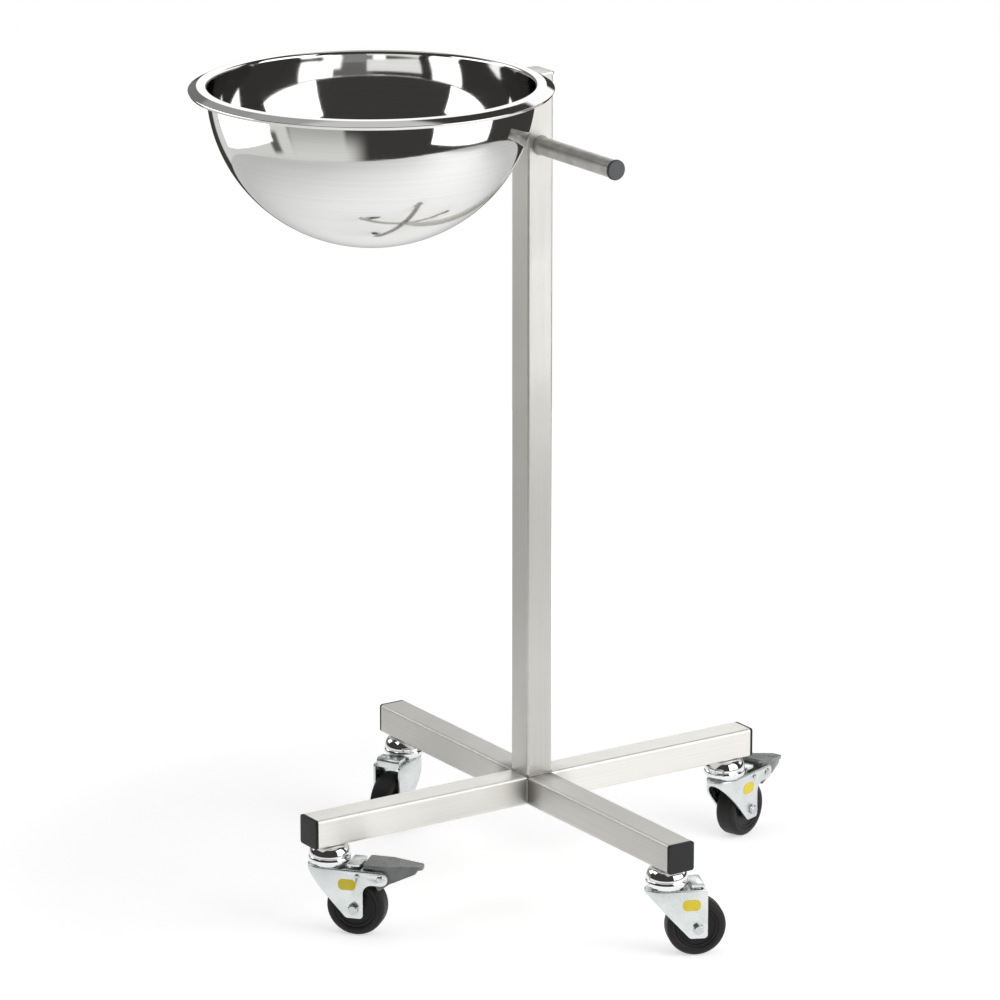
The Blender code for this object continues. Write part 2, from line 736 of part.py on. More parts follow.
class Stand:
    """Collects the pieces in one collection, with the axes of the moving ones as empties."""

    def __init__(self):
        self.collection = bpy.data.collections.new("basin_stand")
        bpy.context.scene.collection.children.link(self.collection)
        self.materials = make_materials()

    def axis(self, name, place, turn=0.0):
        """An empty on a moving piece's axis."""
        empty = bpy.data.objects.new(name, None)
        empty.location = place
        empty.rotation_euler = (0, 0, turn)
        self.collection.objects.link(empty)
        return empty

    def piece(self, name, mesh, finish, place=(0, 0, 0), turn=(0, 0, 0), parent=None):
        """One named piece with its finish, shaded smooth on its round faces."""
        if not mesh.materials:
            mesh.materials.append(self.materials[finish])
            mesh.shade_smooth()
            mesh.set_sharp_from_angle(angle=math.radians(35))
        obj = bpy.data.objects.new(name, mesh)
        obj.location = place
        obj.rotation_euler = turn
        obj.parent = parent
        self.collection.objects.link(obj)
        return obj


def build_frame(stand):
    """The base cross, the post, its top plate, the handle and the end plugs."""
    quarter = math.radians(90)
    short_arm = short_arm_mesh()
    arm_plug = arm_plug_mesh()
    stand.piece("long_arm", long_arm_mesh(), "satin_steel", (0, 0, ARM_MIDDLE))
    stand.piece("front_arm", short_arm, "satin_steel", (0, 0, ARM_MIDDLE), (0, 0, -quarter))
    stand.piece("back_arm", short_arm, "satin_steel", (0, 0, ARM_MIDDLE), (0, 0, quarter))
    for corner, ((x, y), _, _) in CASTORS.items():
        place = (x * ARM_END, y * ARM_END, ARM_MIDDLE)
        stand.piece("arm_plug_" + corner, arm_plug, "black_plastic", place, (0, 0, math.atan2(y, x)))
    post = moved(tube_along_x(POST_LENGTH), ALONG_X)
    stand.piece("post", post, "satin_steel", (0, 0, POST_BOTTOM + POST_LENGTH / 2))
    stand.piece("post_top_plate", top_plate_mesh(), "satin_steel")
    root = (0, -TUBE_SIDE / 2, PLATE_TOP - HANDLE_DROP)
    stand.piece("handle", handle_mesh(), "satin_steel", root, (quarter, 0, 0))
    stand.piece("handle_plug", handle_plug_mesh(), "black_plastic", root, (quarter, 0, 0))


def build_basin(stand):
    """The ring on the post and the basin that hangs on it."""
    stand.piece("basin_ring", ring_mesh(), "satin_steel", (BASIN_X, 0, RING_Z))
    stand.piece("basin", basin_mesh(), "polished_steel", (BASIN_X, 0, RIM_CREST))


def build_castors(stand):
    """Four swivel castors, two of them with a brake pedal."""
    forks = {braked: fork_mesh(braked) for braked in (False, True)}
    cup, race, king_bolt, king_nut = cup_mesh(), race_mesh(), king_bolt_mesh(), king_nut_mesh()
    axle_bolt, axle_nut, bush = axle_bolt_mesh(), axle_nut_mesh(), bush_mesh()
    core, tyre, pedal = core_mesh(), tyre_mesh(), pedal_mesh()
    pin, stop = rivet_mesh(PIN, PIN_HEAD), rivet_mesh(STOP_PIN, STOP_HEAD)
    for corner, ((x, y), angle, braked) in CASTORS.items():
        place = (x * CASTOR_OUT, y * CASTOR_OUT, 0)
        stand.piece("swivel_cup_" + corner, cup, "chrome", place)
        stand.piece("king_bolt_" + corner, king_bolt, "bright_zinc", place)
        stand.piece("king_nut_" + corner, king_nut, "bright_zinc", place)
        swivel = stand.axis("swivel_axis_" + corner, place, angle)
        stand.piece("ball_race_" + corner, race, "chrome", parent=swivel)
        stand.piece("fork_" + corner, forks[braked], "bright_zinc", parent=swivel)
        axle = (CASTOR_TRAIL, 0, AXLE_Z)
        stand.piece("axle_bolt_" + corner, axle_bolt, "bright_zinc", axle, parent=swivel)
        stand.piece("axle_nut_" + corner, axle_nut, "bright_zinc", axle, parent=swivel)
        stand.piece("axle_bush_" + corner, bush, "bright_zinc", axle, parent=swivel)
        stand.piece("wheel_core_" + corner, core, "black_plastic", axle, parent=swivel)
        stand.piece("tyre_" + corner, tyre, "black_rubber", axle, parent=swivel)
        if braked:
            hinge = (PIN_X, 0, PIN_Z)
            stand.piece("pedal_pin_" + corner, pin, "bright_zinc", hinge, parent=swivel)
            stand.piece("brake_stop_" + corner, stop, "bright_zinc", (STOP_X, 0, STOP_Z), parent=swivel)
            stand.piece("brake_pedal_" + corner, pedal, "grey_plastic", hinge, (0, PEDAL_TILT[corner], 0), swivel)


def main():
    """Builds the stand."""
    clear_scene()
    stand = Stand()
    build_frame(stand)
    build_basin(stand)
    build_castors(stand)


main()
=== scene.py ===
"""Looks of the wheeled basin stand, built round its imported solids.

Metres, +Z up. Every place and main size comes from the frame's solids and joints. Nodes that show are
replaced by finer pieces, and hidden ones keep their solid with a proper finish.
"""

import json
import logging
import math
from dataclasses import dataclass, replace
from enum import Enum
from typing import Callable, Optional, Sequence

import bmesh
import bpy
from mathutils import Matrix, Vector


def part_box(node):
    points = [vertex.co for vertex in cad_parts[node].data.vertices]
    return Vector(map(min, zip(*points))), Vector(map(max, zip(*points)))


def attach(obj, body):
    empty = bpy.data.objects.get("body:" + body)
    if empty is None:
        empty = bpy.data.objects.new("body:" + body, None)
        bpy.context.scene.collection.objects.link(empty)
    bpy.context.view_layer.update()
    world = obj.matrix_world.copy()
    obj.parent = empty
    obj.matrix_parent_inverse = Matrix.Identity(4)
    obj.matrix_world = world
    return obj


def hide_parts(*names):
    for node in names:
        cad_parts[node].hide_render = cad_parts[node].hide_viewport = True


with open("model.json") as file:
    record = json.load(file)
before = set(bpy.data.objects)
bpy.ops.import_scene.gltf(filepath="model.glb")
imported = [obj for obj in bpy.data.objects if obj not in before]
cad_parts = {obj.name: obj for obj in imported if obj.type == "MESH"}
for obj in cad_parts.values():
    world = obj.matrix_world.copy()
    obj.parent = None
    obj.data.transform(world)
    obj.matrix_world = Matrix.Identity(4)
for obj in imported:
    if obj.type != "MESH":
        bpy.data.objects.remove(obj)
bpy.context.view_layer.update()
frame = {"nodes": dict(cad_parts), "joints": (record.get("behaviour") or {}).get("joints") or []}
log = logging.getLogger("basin_stand")

Colour = tuple[float, float, float]
Outline = Sequence[tuple[float, float, float]]
MERGE = 1e-6
SHARP = 1.0
ALONG = 0.999
FACING = 0.9
CORNER_SHARE = 0.49
ROD_STEPS = 24
COPY_FLAT = math.radians(1)
JOIN_FLAT = math.radians(0.5)
SMOOTH_ANGLE = math.radians(32)
EDGE_ANGLE = math.radians(8)
EDGE_FULL = math.radians(18)
ACROSS = Matrix.Rotation(math.radians(90), 4, "X")
LEVEL = (1.0, 1.0, 0.0)
WHITE = (1.0, 1.0, 1.0)
SOFT_EDGE = 2.0
# Painted shade: how far from the post's corners the darkening on the arms runs, from full to none
CORNER_SHADE_SPAN = (0.004, 0.034)


class Corner(Enum):
    """Corners of the base, as the nodes name them."""

    FRONT_LEFT = "front_left"
    FRONT_RIGHT = "front_right"
    BACK_LEFT = "back_left"
    BACK_RIGHT = "back_right"


class Join(Enum):
    """Ways to combine two closed shapes."""

    ADD = "UNION"
    CUT = "DIFFERENCE"
    KEEP = "INTERSECT"


class Lay(Enum):
    """Direction of a finish's fine lines."""

    X = 0
    Y = 1
    Z = 2
    EVEN = 3
    ROUND = 4


class Slot(Enum):
    """Material slots of the record."""

    SATIN_STEEL = "satin_steel"
    POLISHED_STEEL = "polished_steel"
    BLACK_PLASTIC = "black_plastic"
    BRIGHT_ZINC = "bright_zinc"
    CHROME = "chrome"
    BLACK_RUBBER = "black_rubber"
    GREY_PLASTIC = "grey_plastic"


class Desk:
    """Places and joins the nodes of one tree."""

    def __init__(self, tree: bpy.types.NodeTree) -> None:
        """Starts on a node tree."""
        self.tree = tree

    def add(self, kind: str, **settings: object) -> bpy.types.Node:
        """Adds a node.

        Args:
            kind: The node's type name.
            **settings: Properties to set on it.

        Returns:
            The new node.
        """
        node = self.tree.nodes.new(kind)
        for key, value in settings.items():
            setattr(node, key, value)
        return node

    def feed(self, source: object, target: bpy.types.NodeSocket) -> None:
        """Links an output to a socket, or sets the socket where the source is a plain value.

        Args:
            source: An output socket or a value.
            target: The socket that takes it.
        """
        if isinstance(source, bpy.types.NodeSocket):
            self.tree.links.new(source, target)
        else:
            target.default_value = source

    def math(self, operation: str, first: object, second: object) -> bpy.types.NodeSocket:
        """Combines two values.

        Args:
            operation: The Math node's operation.
            first: A socket or number.
            second: A socket or number.

        Returns:
            The result's socket.
        """
        node = self.add("ShaderNodeMath", operation=operation)
        self.feed(first, node.inputs[0])
        self.feed(second, node.inputs[1])
        return node.outputs[0]

    def vector(self, operation: str, *values: object) -> bpy.types.NodeSocket:
        """Combines vectors.

        Args:
            operation: The Vector Math node's operation.
            *values: Sockets or vectors.

        Returns:
            The result's socket.
        """
        node = self.add("ShaderNodeVectorMath", operation=operation)
        for index, value in enumerate(values):
            self.feed(value, node.inputs[index])
        return next(item for item in node.outputs if item.enabled)

    def part(self, vector: object, axis: str) -> bpy.types.NodeSocket:
        """Takes one part of a vector.

        Args:
            vector: The vector's socket.
            axis: The part's letter.

        Returns:
            The part's socket.
        """
        node = self.add("ShaderNodeSeparateXYZ")
        self.feed(vector, node.inputs[0])
        return node.outputs[axis]

    def spread(self, value: object, low: float, high: float, to_low: float, to_high: float) -> bpy.types.NodeSocket:
        """Maps a value smoothly from one range to another.

        Args:
            value: The socket to map.
            low: Start of its range.
            high: End of its range.
            to_low: Result at the start.
            to_high: Result at the end.

        Returns:
            The mapped value's socket.
        """
        node = self.add("ShaderNodeMapRange", interpolation_type="SMOOTHSTEP")
        for index, item in enumerate((value, low, high, to_low, to_high)):
            self.feed(item, node.inputs[index])
        return node.outputs["Result"]

    def blend(self, amount: object, first: object, second: object) -> bpy.types.NodeSocket:
        """Mixes two colours.

        Args:
            amount: How much of the second, as a socket.
            first: A colour or its socket.
            second: A colour or its socket.

        Returns:
            The mixed colour's socket.
        """
        node = self.add("ShaderNodeMix", data_type="RGBA")
        sockets = [item for item in node.inputs if item.enabled]
        for socket, item in zip(sockets, (amount, first, second)):
            self.feed((*item, 1.0) if isinstance(item, tuple) else item, socket)
        return next(item for item in node.outputs if item.enabled)

    def noise(self, vector: object, scale: object, detail: float) -> bpy.types.NodeSocket:
        """Adds a noise pattern.

        Args:
            vector: Its coordinates.
            scale: Its scale, as a number or socket.
            detail: Octaves of fine detail.

        Returns:
            The pattern's value.
        """
        node = self.add("ShaderNodeTexNoise")
        self.feed(vector, node.inputs["Vector"])
        self.feed(scale, node.inputs["Scale"])
        node.inputs["Detail"].default_value = detail
        return node.outputs[0]


class Effect(Enum):
    """Surface effects that the finishes share, each one a node group."""

    GRAIN = "fine_grain"
    CLOUD = "soft_cloud"
    WEAR = "edge_wear"
    # Painted shade on the arms beside the post, standing in for shadow and dark reflections in the inner corners
    HEAT = "weld_heat"

    def tree(self) -> bpy.types.NodeTree:
        """The effect's node group, built at its first use."""
        made = bpy.data.node_groups.get(self.value)
        return made or self._build()

    def _build(self) -> bpy.types.NodeTree:
        """Builds the group.

        Returns:
            The node group with its sockets.
        """
        tree = bpy.data.node_groups.new(self.value, "ShaderNodeTree")
        desk = Desk(tree)
        tree.interface.new_socket(name="Vector", in_out="INPUT", socket_type="NodeSocketVector")
        tree.interface.new_socket(name="Scale", in_out="INPUT", socket_type="NodeSocketFloat")
        if self is Effect.WEAR:
            tree.interface.new_socket(name="Edge", in_out="INPUT", socket_type="NodeSocketFloat")
        tree.interface.new_socket(name="Value", in_out="OUTPUT", socket_type="NodeSocketFloat")
        given = desk.add("NodeGroupInput").outputs
        result = desk.add("NodeGroupOutput").inputs["Value"]
        # Painted shade: strongest at the post's corners, fading out with distance from them
        if self is Effect.HEAT:
            aside = [desk.math("SUBTRACT", desk.math("ABSOLUTE", desk.part(given["Vector"], axis), 0.0), given["Scale"])
                     for axis in "XY"]
            reach = desk.math("POWER", desk.math("ADD", *(desk.math("POWER", desk.math("ABSOLUTE", way, 0.0), 2.0)
                                                          for way in aside)), 0.5)
            value = desk.spread(reach, *CORNER_SHADE_SPAN, 1.0, 0.0)
        else:
            detail, low, high, least = NOISE[self]
            value = desk.spread(desk.noise(given["Vector"], given["Scale"], detail), low, high, least, 1.0)
        if self is Effect.WEAR:
            value = desk.math("MULTIPLY", given["Edge"], value)
        desk.feed(value, result)
        return tree

    def place(self, desk: Desk, vector: object, scale: float, edge: object = None) -> bpy.types.NodeSocket:
        """Puts the group into a material.

        Args:
            desk: The material's desk.
            vector: The pattern's coordinates.
            scale: The pattern's scale, or for the painted corner shade the corners' distance from the post's axis.
            edge: The edge mask, which only the wear takes.

        Returns:
            The effect's value.
        """
        node = desk.add("ShaderNodeGroup", node_tree=self.tree())
        desk.feed(vector, node.inputs["Vector"])
        node.inputs["Scale"].default_value = scale
        if edge is not None:
            desk.feed(edge, node.inputs["Edge"])
        return node.outputs["Value"]


# Detail, used range and least result of each effect's noise
NOISE = {
    Effect.GRAIN: (5.0, 0.32, 0.68, 0.0),
    Effect.CLOUD: (3.0, 0.36, 0.66, 0.0),
    Effect.WEAR: (4.0, 0.38, 0.62, 0.25),
}


@dataclass(frozen=True)
class Finish:
    """A surface finish: two tones in a fine pattern, soft clouds in the gloss, and rubbed edges."""

    name: str
    tone: Colour
    second_tone: Colour
    rubbed: Colour
    metallic: float
    roughness: tuple[float, float]
    lay: Lay = Lay.EVEN
    fine: float = 900.0
    along: float = 9.0
    cloud: float = 14.0
    cloud_tone: float = 0.10
    cloud_gloss: float = 0.05
    wear: float = 0.5
    wear_scale: float = 60.0
    relief: float = 0.1
    relief_depth: float = 0.0002
    brushed: float = 0.0
    specular: float = 0.5
    # Painted shade near the post's corners: its strength, the corners' distance from the axis, and its dark colour
    heat: float = 0.0
    corner_shade_at: float = 0.016
    corner_shade_tone: Colour = (0.16, 0.155, 0.14)

    def material(self) -> bpy.types.Material:
        """The finish's material, built at its first use."""
        made = bpy.data.materials.get(self.name)
        return made or self._build()

    def _coordinates(self, desk: Desk) -> bpy.types.NodeSocket:
        """Coordinates of the fine pattern, drawn out along its lay.

        Args:
            desk: The material's desk.

        Returns:
            The vector's socket.
        """
        if self.lay is Lay.ROUND:
            place = desk.add("ShaderNodeAttribute", attribute_name="place").outputs["Vector"]
            reach = desk.vector("LENGTH", desk.vector("MULTIPLY", place, LEVEL))
            ring = desk.add("ShaderNodeCombineXYZ")
            desk.feed(desk.math("MULTIPLY", reach, self.fine), ring.inputs["X"])
            desk.feed(desk.math("MULTIPLY", desk.part(place, "Z"), self.fine), ring.inputs["Z"])
            return ring.outputs["Vector"]
        scales = [self.fine] * 3
        if self.lay is not Lay.EVEN:
            scales[self.lay.value] = self.along
        mapping = desk.add("ShaderNodeMapping")
        mapping.inputs["Scale"].default_value = scales
        desk.feed(desk.add("ShaderNodeTexCoord").outputs["Object"], mapping.inputs["Vector"])
        return mapping.outputs["Vector"]

    def _build(self) -> bpy.types.Material:
        """Builds the material.

        Returns:
            The new material.
        """
        made = bpy.data.materials.new(self.name)
        made.use_nodes = True
        desk = Desk(made.node_tree)
        shader = made.node_tree.nodes["Principled BSDF"]
        everywhere = desk.add("ShaderNodeTexCoord").outputs["Object"]
        grain = Effect.GRAIN.place(desk, self._coordinates(desk), 1.0)
        cloud = Effect.CLOUD.place(desk, everywhere, self.cloud)
        edge = desk.add("ShaderNodeAttribute", attribute_name="edge").outputs["Fac"]
        worn = desk.math("MULTIPLY", Effect.WEAR.place(desk, everywhere, self.wear_scale, edge), self.wear)
        shade = desk.math("ADD", desk.math("MULTIPLY", grain, 1.0 - self.cloud_tone),
                          desk.math("MULTIPLY", cloud, self.cloud_tone))
        tone = desk.blend(shade, self.tone, self.second_tone)
        # Paints shade into the tone beside the post, for the shadow and dark reflections in the inner corners
        if self.heat > 0.0:
            tint = Effect.HEAT.place(desk, everywhere, self.corner_shade_at)
            tone = desk.blend(desk.math("MULTIPLY", tint, self.heat), tone, self.corner_shade_tone)
        desk.feed(desk.blend(worn, tone, self.rubbed), shader.inputs["Base Color"])
        low, high = self.roughness
        gloss = desk.spread(grain, 0.0, 1.0, low, high)
        desk.feed(desk.math("ADD", gloss, desk.math("MULTIPLY", cloud, self.cloud_gloss)), shader.inputs["Roughness"])
        shader.inputs["Metallic"].default_value = self.metallic
        shader.inputs["Specular IOR Level"].default_value = self.specular
        if self.brushed > 0.0 and self.lay in (Lay.X, Lay.Y, Lay.Z):
            shader.inputs["Anisotropic"].default_value = self.brushed
            around = desk.add("ShaderNodeTangent", direction_type="RADIAL", axis=self.lay.name)
            desk.feed(around.outputs["Tangent"], shader.inputs["Tangent"])
        bump = desk.add("ShaderNodeBump")
        bump.inputs["Strength"].default_value = self.relief
        bump.inputs["Distance"].default_value = self.relief_depth
        desk.feed(grain, bump.inputs["Height"])
        desk.feed(bump.outputs["Normal"], shader.inputs["Normal"])
        return made


def satin(lay: Lay) -> Finish:
    """The satin-brushed stainless finish with its lines in one direction.

    Args:
        lay: The direction that the tube was brushed in.

    Returns:
        The finish.
    """
    dark, pale = SATIN_TONES_WITH_PAINTED_LIGHT[lay]
    tones = [tuple(level * part for part in tint) for level, tint in zip((dark, pale, pale), SATIN_TINTS)]
    return Finish("satin_steel_" + lay.name.lower(), *tones, 0.82, (0.32, 0.41), lay=lay, fine=2600.0, along=6.0,
                  cloud=11.0, wear=0.5, relief=0.06, brushed=0.75, heat=CORNER_SHADE_BY_LAY.get(lay, 0.0))


SATIN_TINTS = ((1.0, 0.982, 0.925), (1.0, 0.983, 0.93), (1.06, 1.05, 1.0))
# Strength of the painted corner shade for each lay of arm
CORNER_SHADE_BY_LAY = {Lay.X: 0.25, Lay.Y: 0.85}
# Steel tones by lay, partly painted light: the X arms are lighter and the Y arms darker, standing in for how the light
# falls on them
SATIN_TONES_WITH_PAINTED_LIGHT = {Lay.X: (0.78, 0.86), Lay.Y: (0.63, 0.71), Lay.Z: (0.60, 0.68), Lay.EVEN: (0.64, 0.72)}
POLISHED = Finish("spun_polish", (0.74, 0.74, 0.73), (0.80, 0.80, 0.79), (0.85, 0.85, 0.85), 1.0, (0.035, 0.06),
                  lay=Lay.ROUND, fine=1300.0, cloud=16.0, cloud_gloss=0.02, wear=0.2, relief=0.006)
ZINC = Finish("zinc_plate", (0.62, 0.675, 0.655), (0.70, 0.72, 0.72), (0.84, 0.85, 0.86), 1.0, (0.24, 0.31),
              fine=260.0, cloud=38.0, cloud_tone=0.65, cloud_gloss=0.05, relief=0.025)
CHROME = Finish("chrome_plate", (0.80, 0.81, 0.82), (0.86, 0.865, 0.87), (0.90, 0.90, 0.90), 1.0, (0.03, 0.07),
                lay=Lay.ROUND, fine=1800.0, cloud=60.0, cloud_gloss=0.02, wear=0.2, relief=0.01)
BOLT_ZINC = Finish("bolt_zinc", (0.46, 0.50, 0.49), (0.60, 0.61, 0.62), (0.80, 0.81, 0.82), 1.0, (0.12, 0.22),
                   fine=500.0, cloud=80.0, cloud_tone=0.5, relief=0.06)
BLACK_PLASTIC = Finish("plug_plastic", (0.025, 0.0257, 0.0258), (0.036, 0.0368, 0.0370), (0.006, 0.006, 0.006), 0.0,
                       (0.34, 0.46), fine=1500.0, cloud=40.0, wear=0.6, relief=0.18, specular=0.2)
WHEEL_PLASTIC = Finish("wheel_plastic", (0.0075, 0.0075, 0.0073), (0.013, 0.013, 0.0126), (0.03, 0.03, 0.03), 0.0,
                       (0.30, 0.42), lay=Lay.ROUND, fine=900.0, cloud=60.0, wear=0.4, relief=0.15, specular=0.25)
DARK_PLUG = Finish("dark_grey_plastic", (0.070, 0.072, 0.075), (0.095, 0.097, 0.100), (0.012, 0.012, 0.012), 0.0,
                   (0.40, 0.52), fine=1400.0, cloud=60.0, wear=0.7, relief=0.2)
GREY_PLASTIC = Finish("pedal_plastic", (0.130, 0.139, 0.137), (0.162, 0.172, 0.169), (0.32, 0.33, 0.33), 0.0,
                      (0.22, 0.32), fine=1200.0, cloud=50.0, wear=0.6, relief=0.15)
RUBBER = Finish("tyre_rubber", (0.010, 0.0098, 0.0094), (0.019, 0.0186, 0.0178), (0.045, 0.044, 0.042), 0.0,
                (0.42, 0.56), lay=Lay.ROUND, fine=1100.0, cloud=70.0, cloud_tone=0.5, wear=0.4, relief=0.25,
                specular=0.3)
YELLOW = Finish("yellow_mark", (0.90, 0.66, 0.008), (0.98, 0.77, 0.020), (0.98, 0.84, 0.12), 0.0, (0.34, 0.46),
                fine=700.0, cloud=160.0, cloud_tone=0.5, relief=0.1)
WELD = Finish("ground_weld", (0.24, 0.235, 0.225), (0.40, 0.395, 0.385), (0.50, 0.50, 0.48), 1.0, (0.32, 0.46),
              fine=800.0, cloud=220.0, cloud_tone=0.6, relief=0.3)


def arc(middle: tuple[float, float], half: tuple[float, float], start: float, end: float,
        steps: int) -> list[tuple[float, float]]:
    """Points along part of an ellipse, by radius and height, with angles in degrees up from the outward direction."""
    turns = [math.radians(start + (end - start) * step / steps) for step in range(steps + 1)]
    return [(middle[0] + half[0] * math.cos(turn), middle[1] + half[1] * math.sin(turn)) for turn in turns]


def link(name: str, data: bpy.types.ID) -> bpy.types.Object:
    """Puts a new object into the scene.

    Args:
        name: The object's name.
        data: Its mesh, lamp or camera.

    Returns:
        The object.
    """
    obj = bpy.data.objects.new(name, data)
    bpy.context.scene.collection.objects.link(obj)
    return obj


class Work:
    """A mesh in the making, with the operators that the pieces share."""

    def __init__(self) -> None:
        """Starts empty."""
        self.bm = bmesh.new()

    @classmethod
    def block(cls, low: Vector, high: Vector) -> "Work":
        """A box.

        Args:
            low: Its lowest corner.
            high: Its highest corner.

        Returns:
            The box.
        """
        work = cls()
        bmesh.ops.create_cube(work.bm, size=1.0)
        size = Vector(high) - Vector(low)
        work.bm.transform(Matrix.Translation((Vector(low) + Vector(high)) / 2) @ Matrix.Diagonal((*size, 1.0)))
        return work

    @classmethod
    def turned(cls, profile: Sequence[tuple[float, float]], steps: int, closed: bool = False) -> "Work":
        """A shape of revolution about z.

        Args:
            profile: Points by radius and height.
            steps: Steps round the axis.
            closed: Whether the profile's last point joins its first.

        Returns:
            The turned shape.
        """
        work = cls()
        line = [work.bm.verts.new((radius, 0.0, height)) for radius, height in profile]
        pairs = list(zip(line, line[1:])) + ([(line[-1], line[0])] if closed else [])
        edges = [work.bm.edges.new(pair) for pair in pairs]
        work.spin(line + edges, steps)
        return work

    @classmethod
    def rod(cls, radius: float, low: float, high: float) -> "Work":
        """A plain cylinder about z, from one height to another."""
        return cls.turned([(0.0, high), (radius, high), (radius, low), (0.0, low)], ROD_STEPS)

    @classmethod
    def prism(cls, corners: Outline, width: float, segments: int = 6) -> "Work":
        """A side view in x and z, thickened evenly across y, with its corners rounded.

        Args:
            corners: Points by x, z and corner radius.
            width: Thickness across y.
            segments: Steps in each rounding.

        Returns:
            The prism.
        """
        work = cls()
        face = work.bm.faces.new([work.bm.verts.new((x, -width / 2, z)) for x, z, _ in corners])
        work.extrude([face], (0.0, width, 0.0))
        count = len(corners)
        for index, (x, z, radius) in enumerate(corners):
            if radius <= 0.0:
                continue
            corner = Vector((x, z))
            before = Vector(corners[index - 1][:2]) - corner
            after = Vector(corners[(index + 1) % count][:2]) - corner
            longest = CORNER_SHARE * min(before.length, after.length)
            reach = min(radius / math.tan(before.angle(after) / 2), longest)
            edge = [item for item in work.bm.edges if all(
                (Vector((vert.co.x, vert.co.z)) - corner).length < MERGE for vert in item.verts)]
            work.bevel(edge, reach, segments)
        bmesh.ops.recalc_face_normals(work.bm, faces=work.bm.faces)
        return work

    @classmethod
    def copy_of(cls, node: str) -> "Work":
        """A merged copy of a node's solid, with its flat faces whole.

        Args:
            node: The node's name.

        Returns:
            The copy.
        """
        work = cls()
        work.bm.from_mesh(frame["nodes"][node].data)
        work.clean(COPY_FLAT)
        return work

    def spin(self, geometry: list, steps: int) -> None:
        """Turns vertices and edges right round z, and closes the seam and poles."""
        bmesh.ops.spin(self.bm, geom=geometry, cent=(0, 0, 0), axis=(0, 0, 1), angle=2 * math.pi, steps=steps,
                       use_merge=True)
        bmesh.ops.remove_doubles(self.bm, verts=self.bm.verts, dist=MERGE)
        bmesh.ops.recalc_face_normals(self.bm, faces=self.bm.faces)

    def clean(self, flat: float) -> None:
        """Merges vertices in one place, and faces that meet at less than an angle."""
        bmesh.ops.remove_doubles(self.bm, verts=self.bm.verts, dist=MERGE)
        bmesh.ops.dissolve_limit(self.bm, angle_limit=flat, verts=self.bm.verts, edges=self.bm.edges)

    def extrude(self, faces: list, step: Sequence[float]) -> None:
        """Draws faces out.

        Args:
            faces: The faces, which stay behind.
            step: How far their copies move.
        """
        made = bmesh.ops.extrude_face_region(self.bm, geom=faces)
        ends = [item for item in made["geom"] if isinstance(item, bmesh.types.BMVert)]
        bmesh.ops.translate(self.bm, verts=ends, vec=step)

    def sharp(self, test: Callable[[Vector], bool]) -> list:
        """The sharp edges whose two ends both lie where a test says."""
        return [edge for edge in self.bm.edges if edge.calc_face_angle(0.0) > SHARP
                and all(test(vert.co) for vert in edge.verts)]

    def bevel(self, edges: list, width: float, segments: int = 3) -> "Work":
        """Rounds edges by a reach on each side, and returns the work."""
        bmesh.ops.bevel(self.bm, geom=edges, offset=width, offset_type="OFFSET", affect="EDGES", segments=segments,
                        profile=0.5, material=-1, clamp_overlap=True)
        return self

    def soften(self, width: float, segments: int = 3, sharper_than: float = 30.0) -> "Work":
        """Rounds every edge sharper than an angle in degrees, and returns the work."""
        limit = math.radians(sharper_than)
        edges = [edge for edge in self.bm.edges if edge.is_manifold and edge.calc_face_angle(0.0) > limit]
        return self.bevel(edges, width, segments)

    def lines_along(self, axis: int) -> list:
        """The straight edges that run along one axis, given by its index."""
        runs = [(edge, (edge.verts[1].co - edge.verts[0].co).normalized()) for edge in self.bm.edges]
        return [edge for edge, run in runs if abs(run[axis]) > ALONG]

    def move(self, *matrices: Matrix) -> "Work":
        """Transforms the shape by each matrix in turn and returns it."""
        for matrix in matrices:
            self.bm.transform(matrix)
        return self

    def mesh(self, name: str) -> bpy.types.Mesh:
        """Writes the shape to a new mesh and ends the work.

        Args:
            name: The mesh's name.

        Returns:
            The mesh.
        """
        made = bpy.data.meshes.new(name)
        self.bm.to_mesh(made)
        self.bm.free()
        return made

    def join(self, how: Join, *tools: "Work") -> "Work":
        """Combines the shape with others by exact Booleans.

        Args:
            how: The kind of Boolean.
            *tools: The other shapes, which are used up.

        Returns:
            The same work with the new shape.
        """
        base = link("base", self.mesh("base"))
        others = []
        for tool in tools:
            other = link("tool", tool.mesh("tool"))
            boolean = base.modifiers.new("join", "BOOLEAN")
            boolean.operation = how.value
            boolean.object = other
            boolean.solver = "EXACT"
            others.append(other)
        bpy.context.view_layer.update()
        shaped = bpy.data.meshes.new_from_object(base.evaluated_get(bpy.context.evaluated_depsgraph_get()))
        for obj in [base] + others:
            bpy.data.objects.remove(obj, do_unlink=True)
        self.bm = bmesh.new()
        self.bm.from_mesh(shaped)
        self.clean(JOIN_FLAT)
        return self

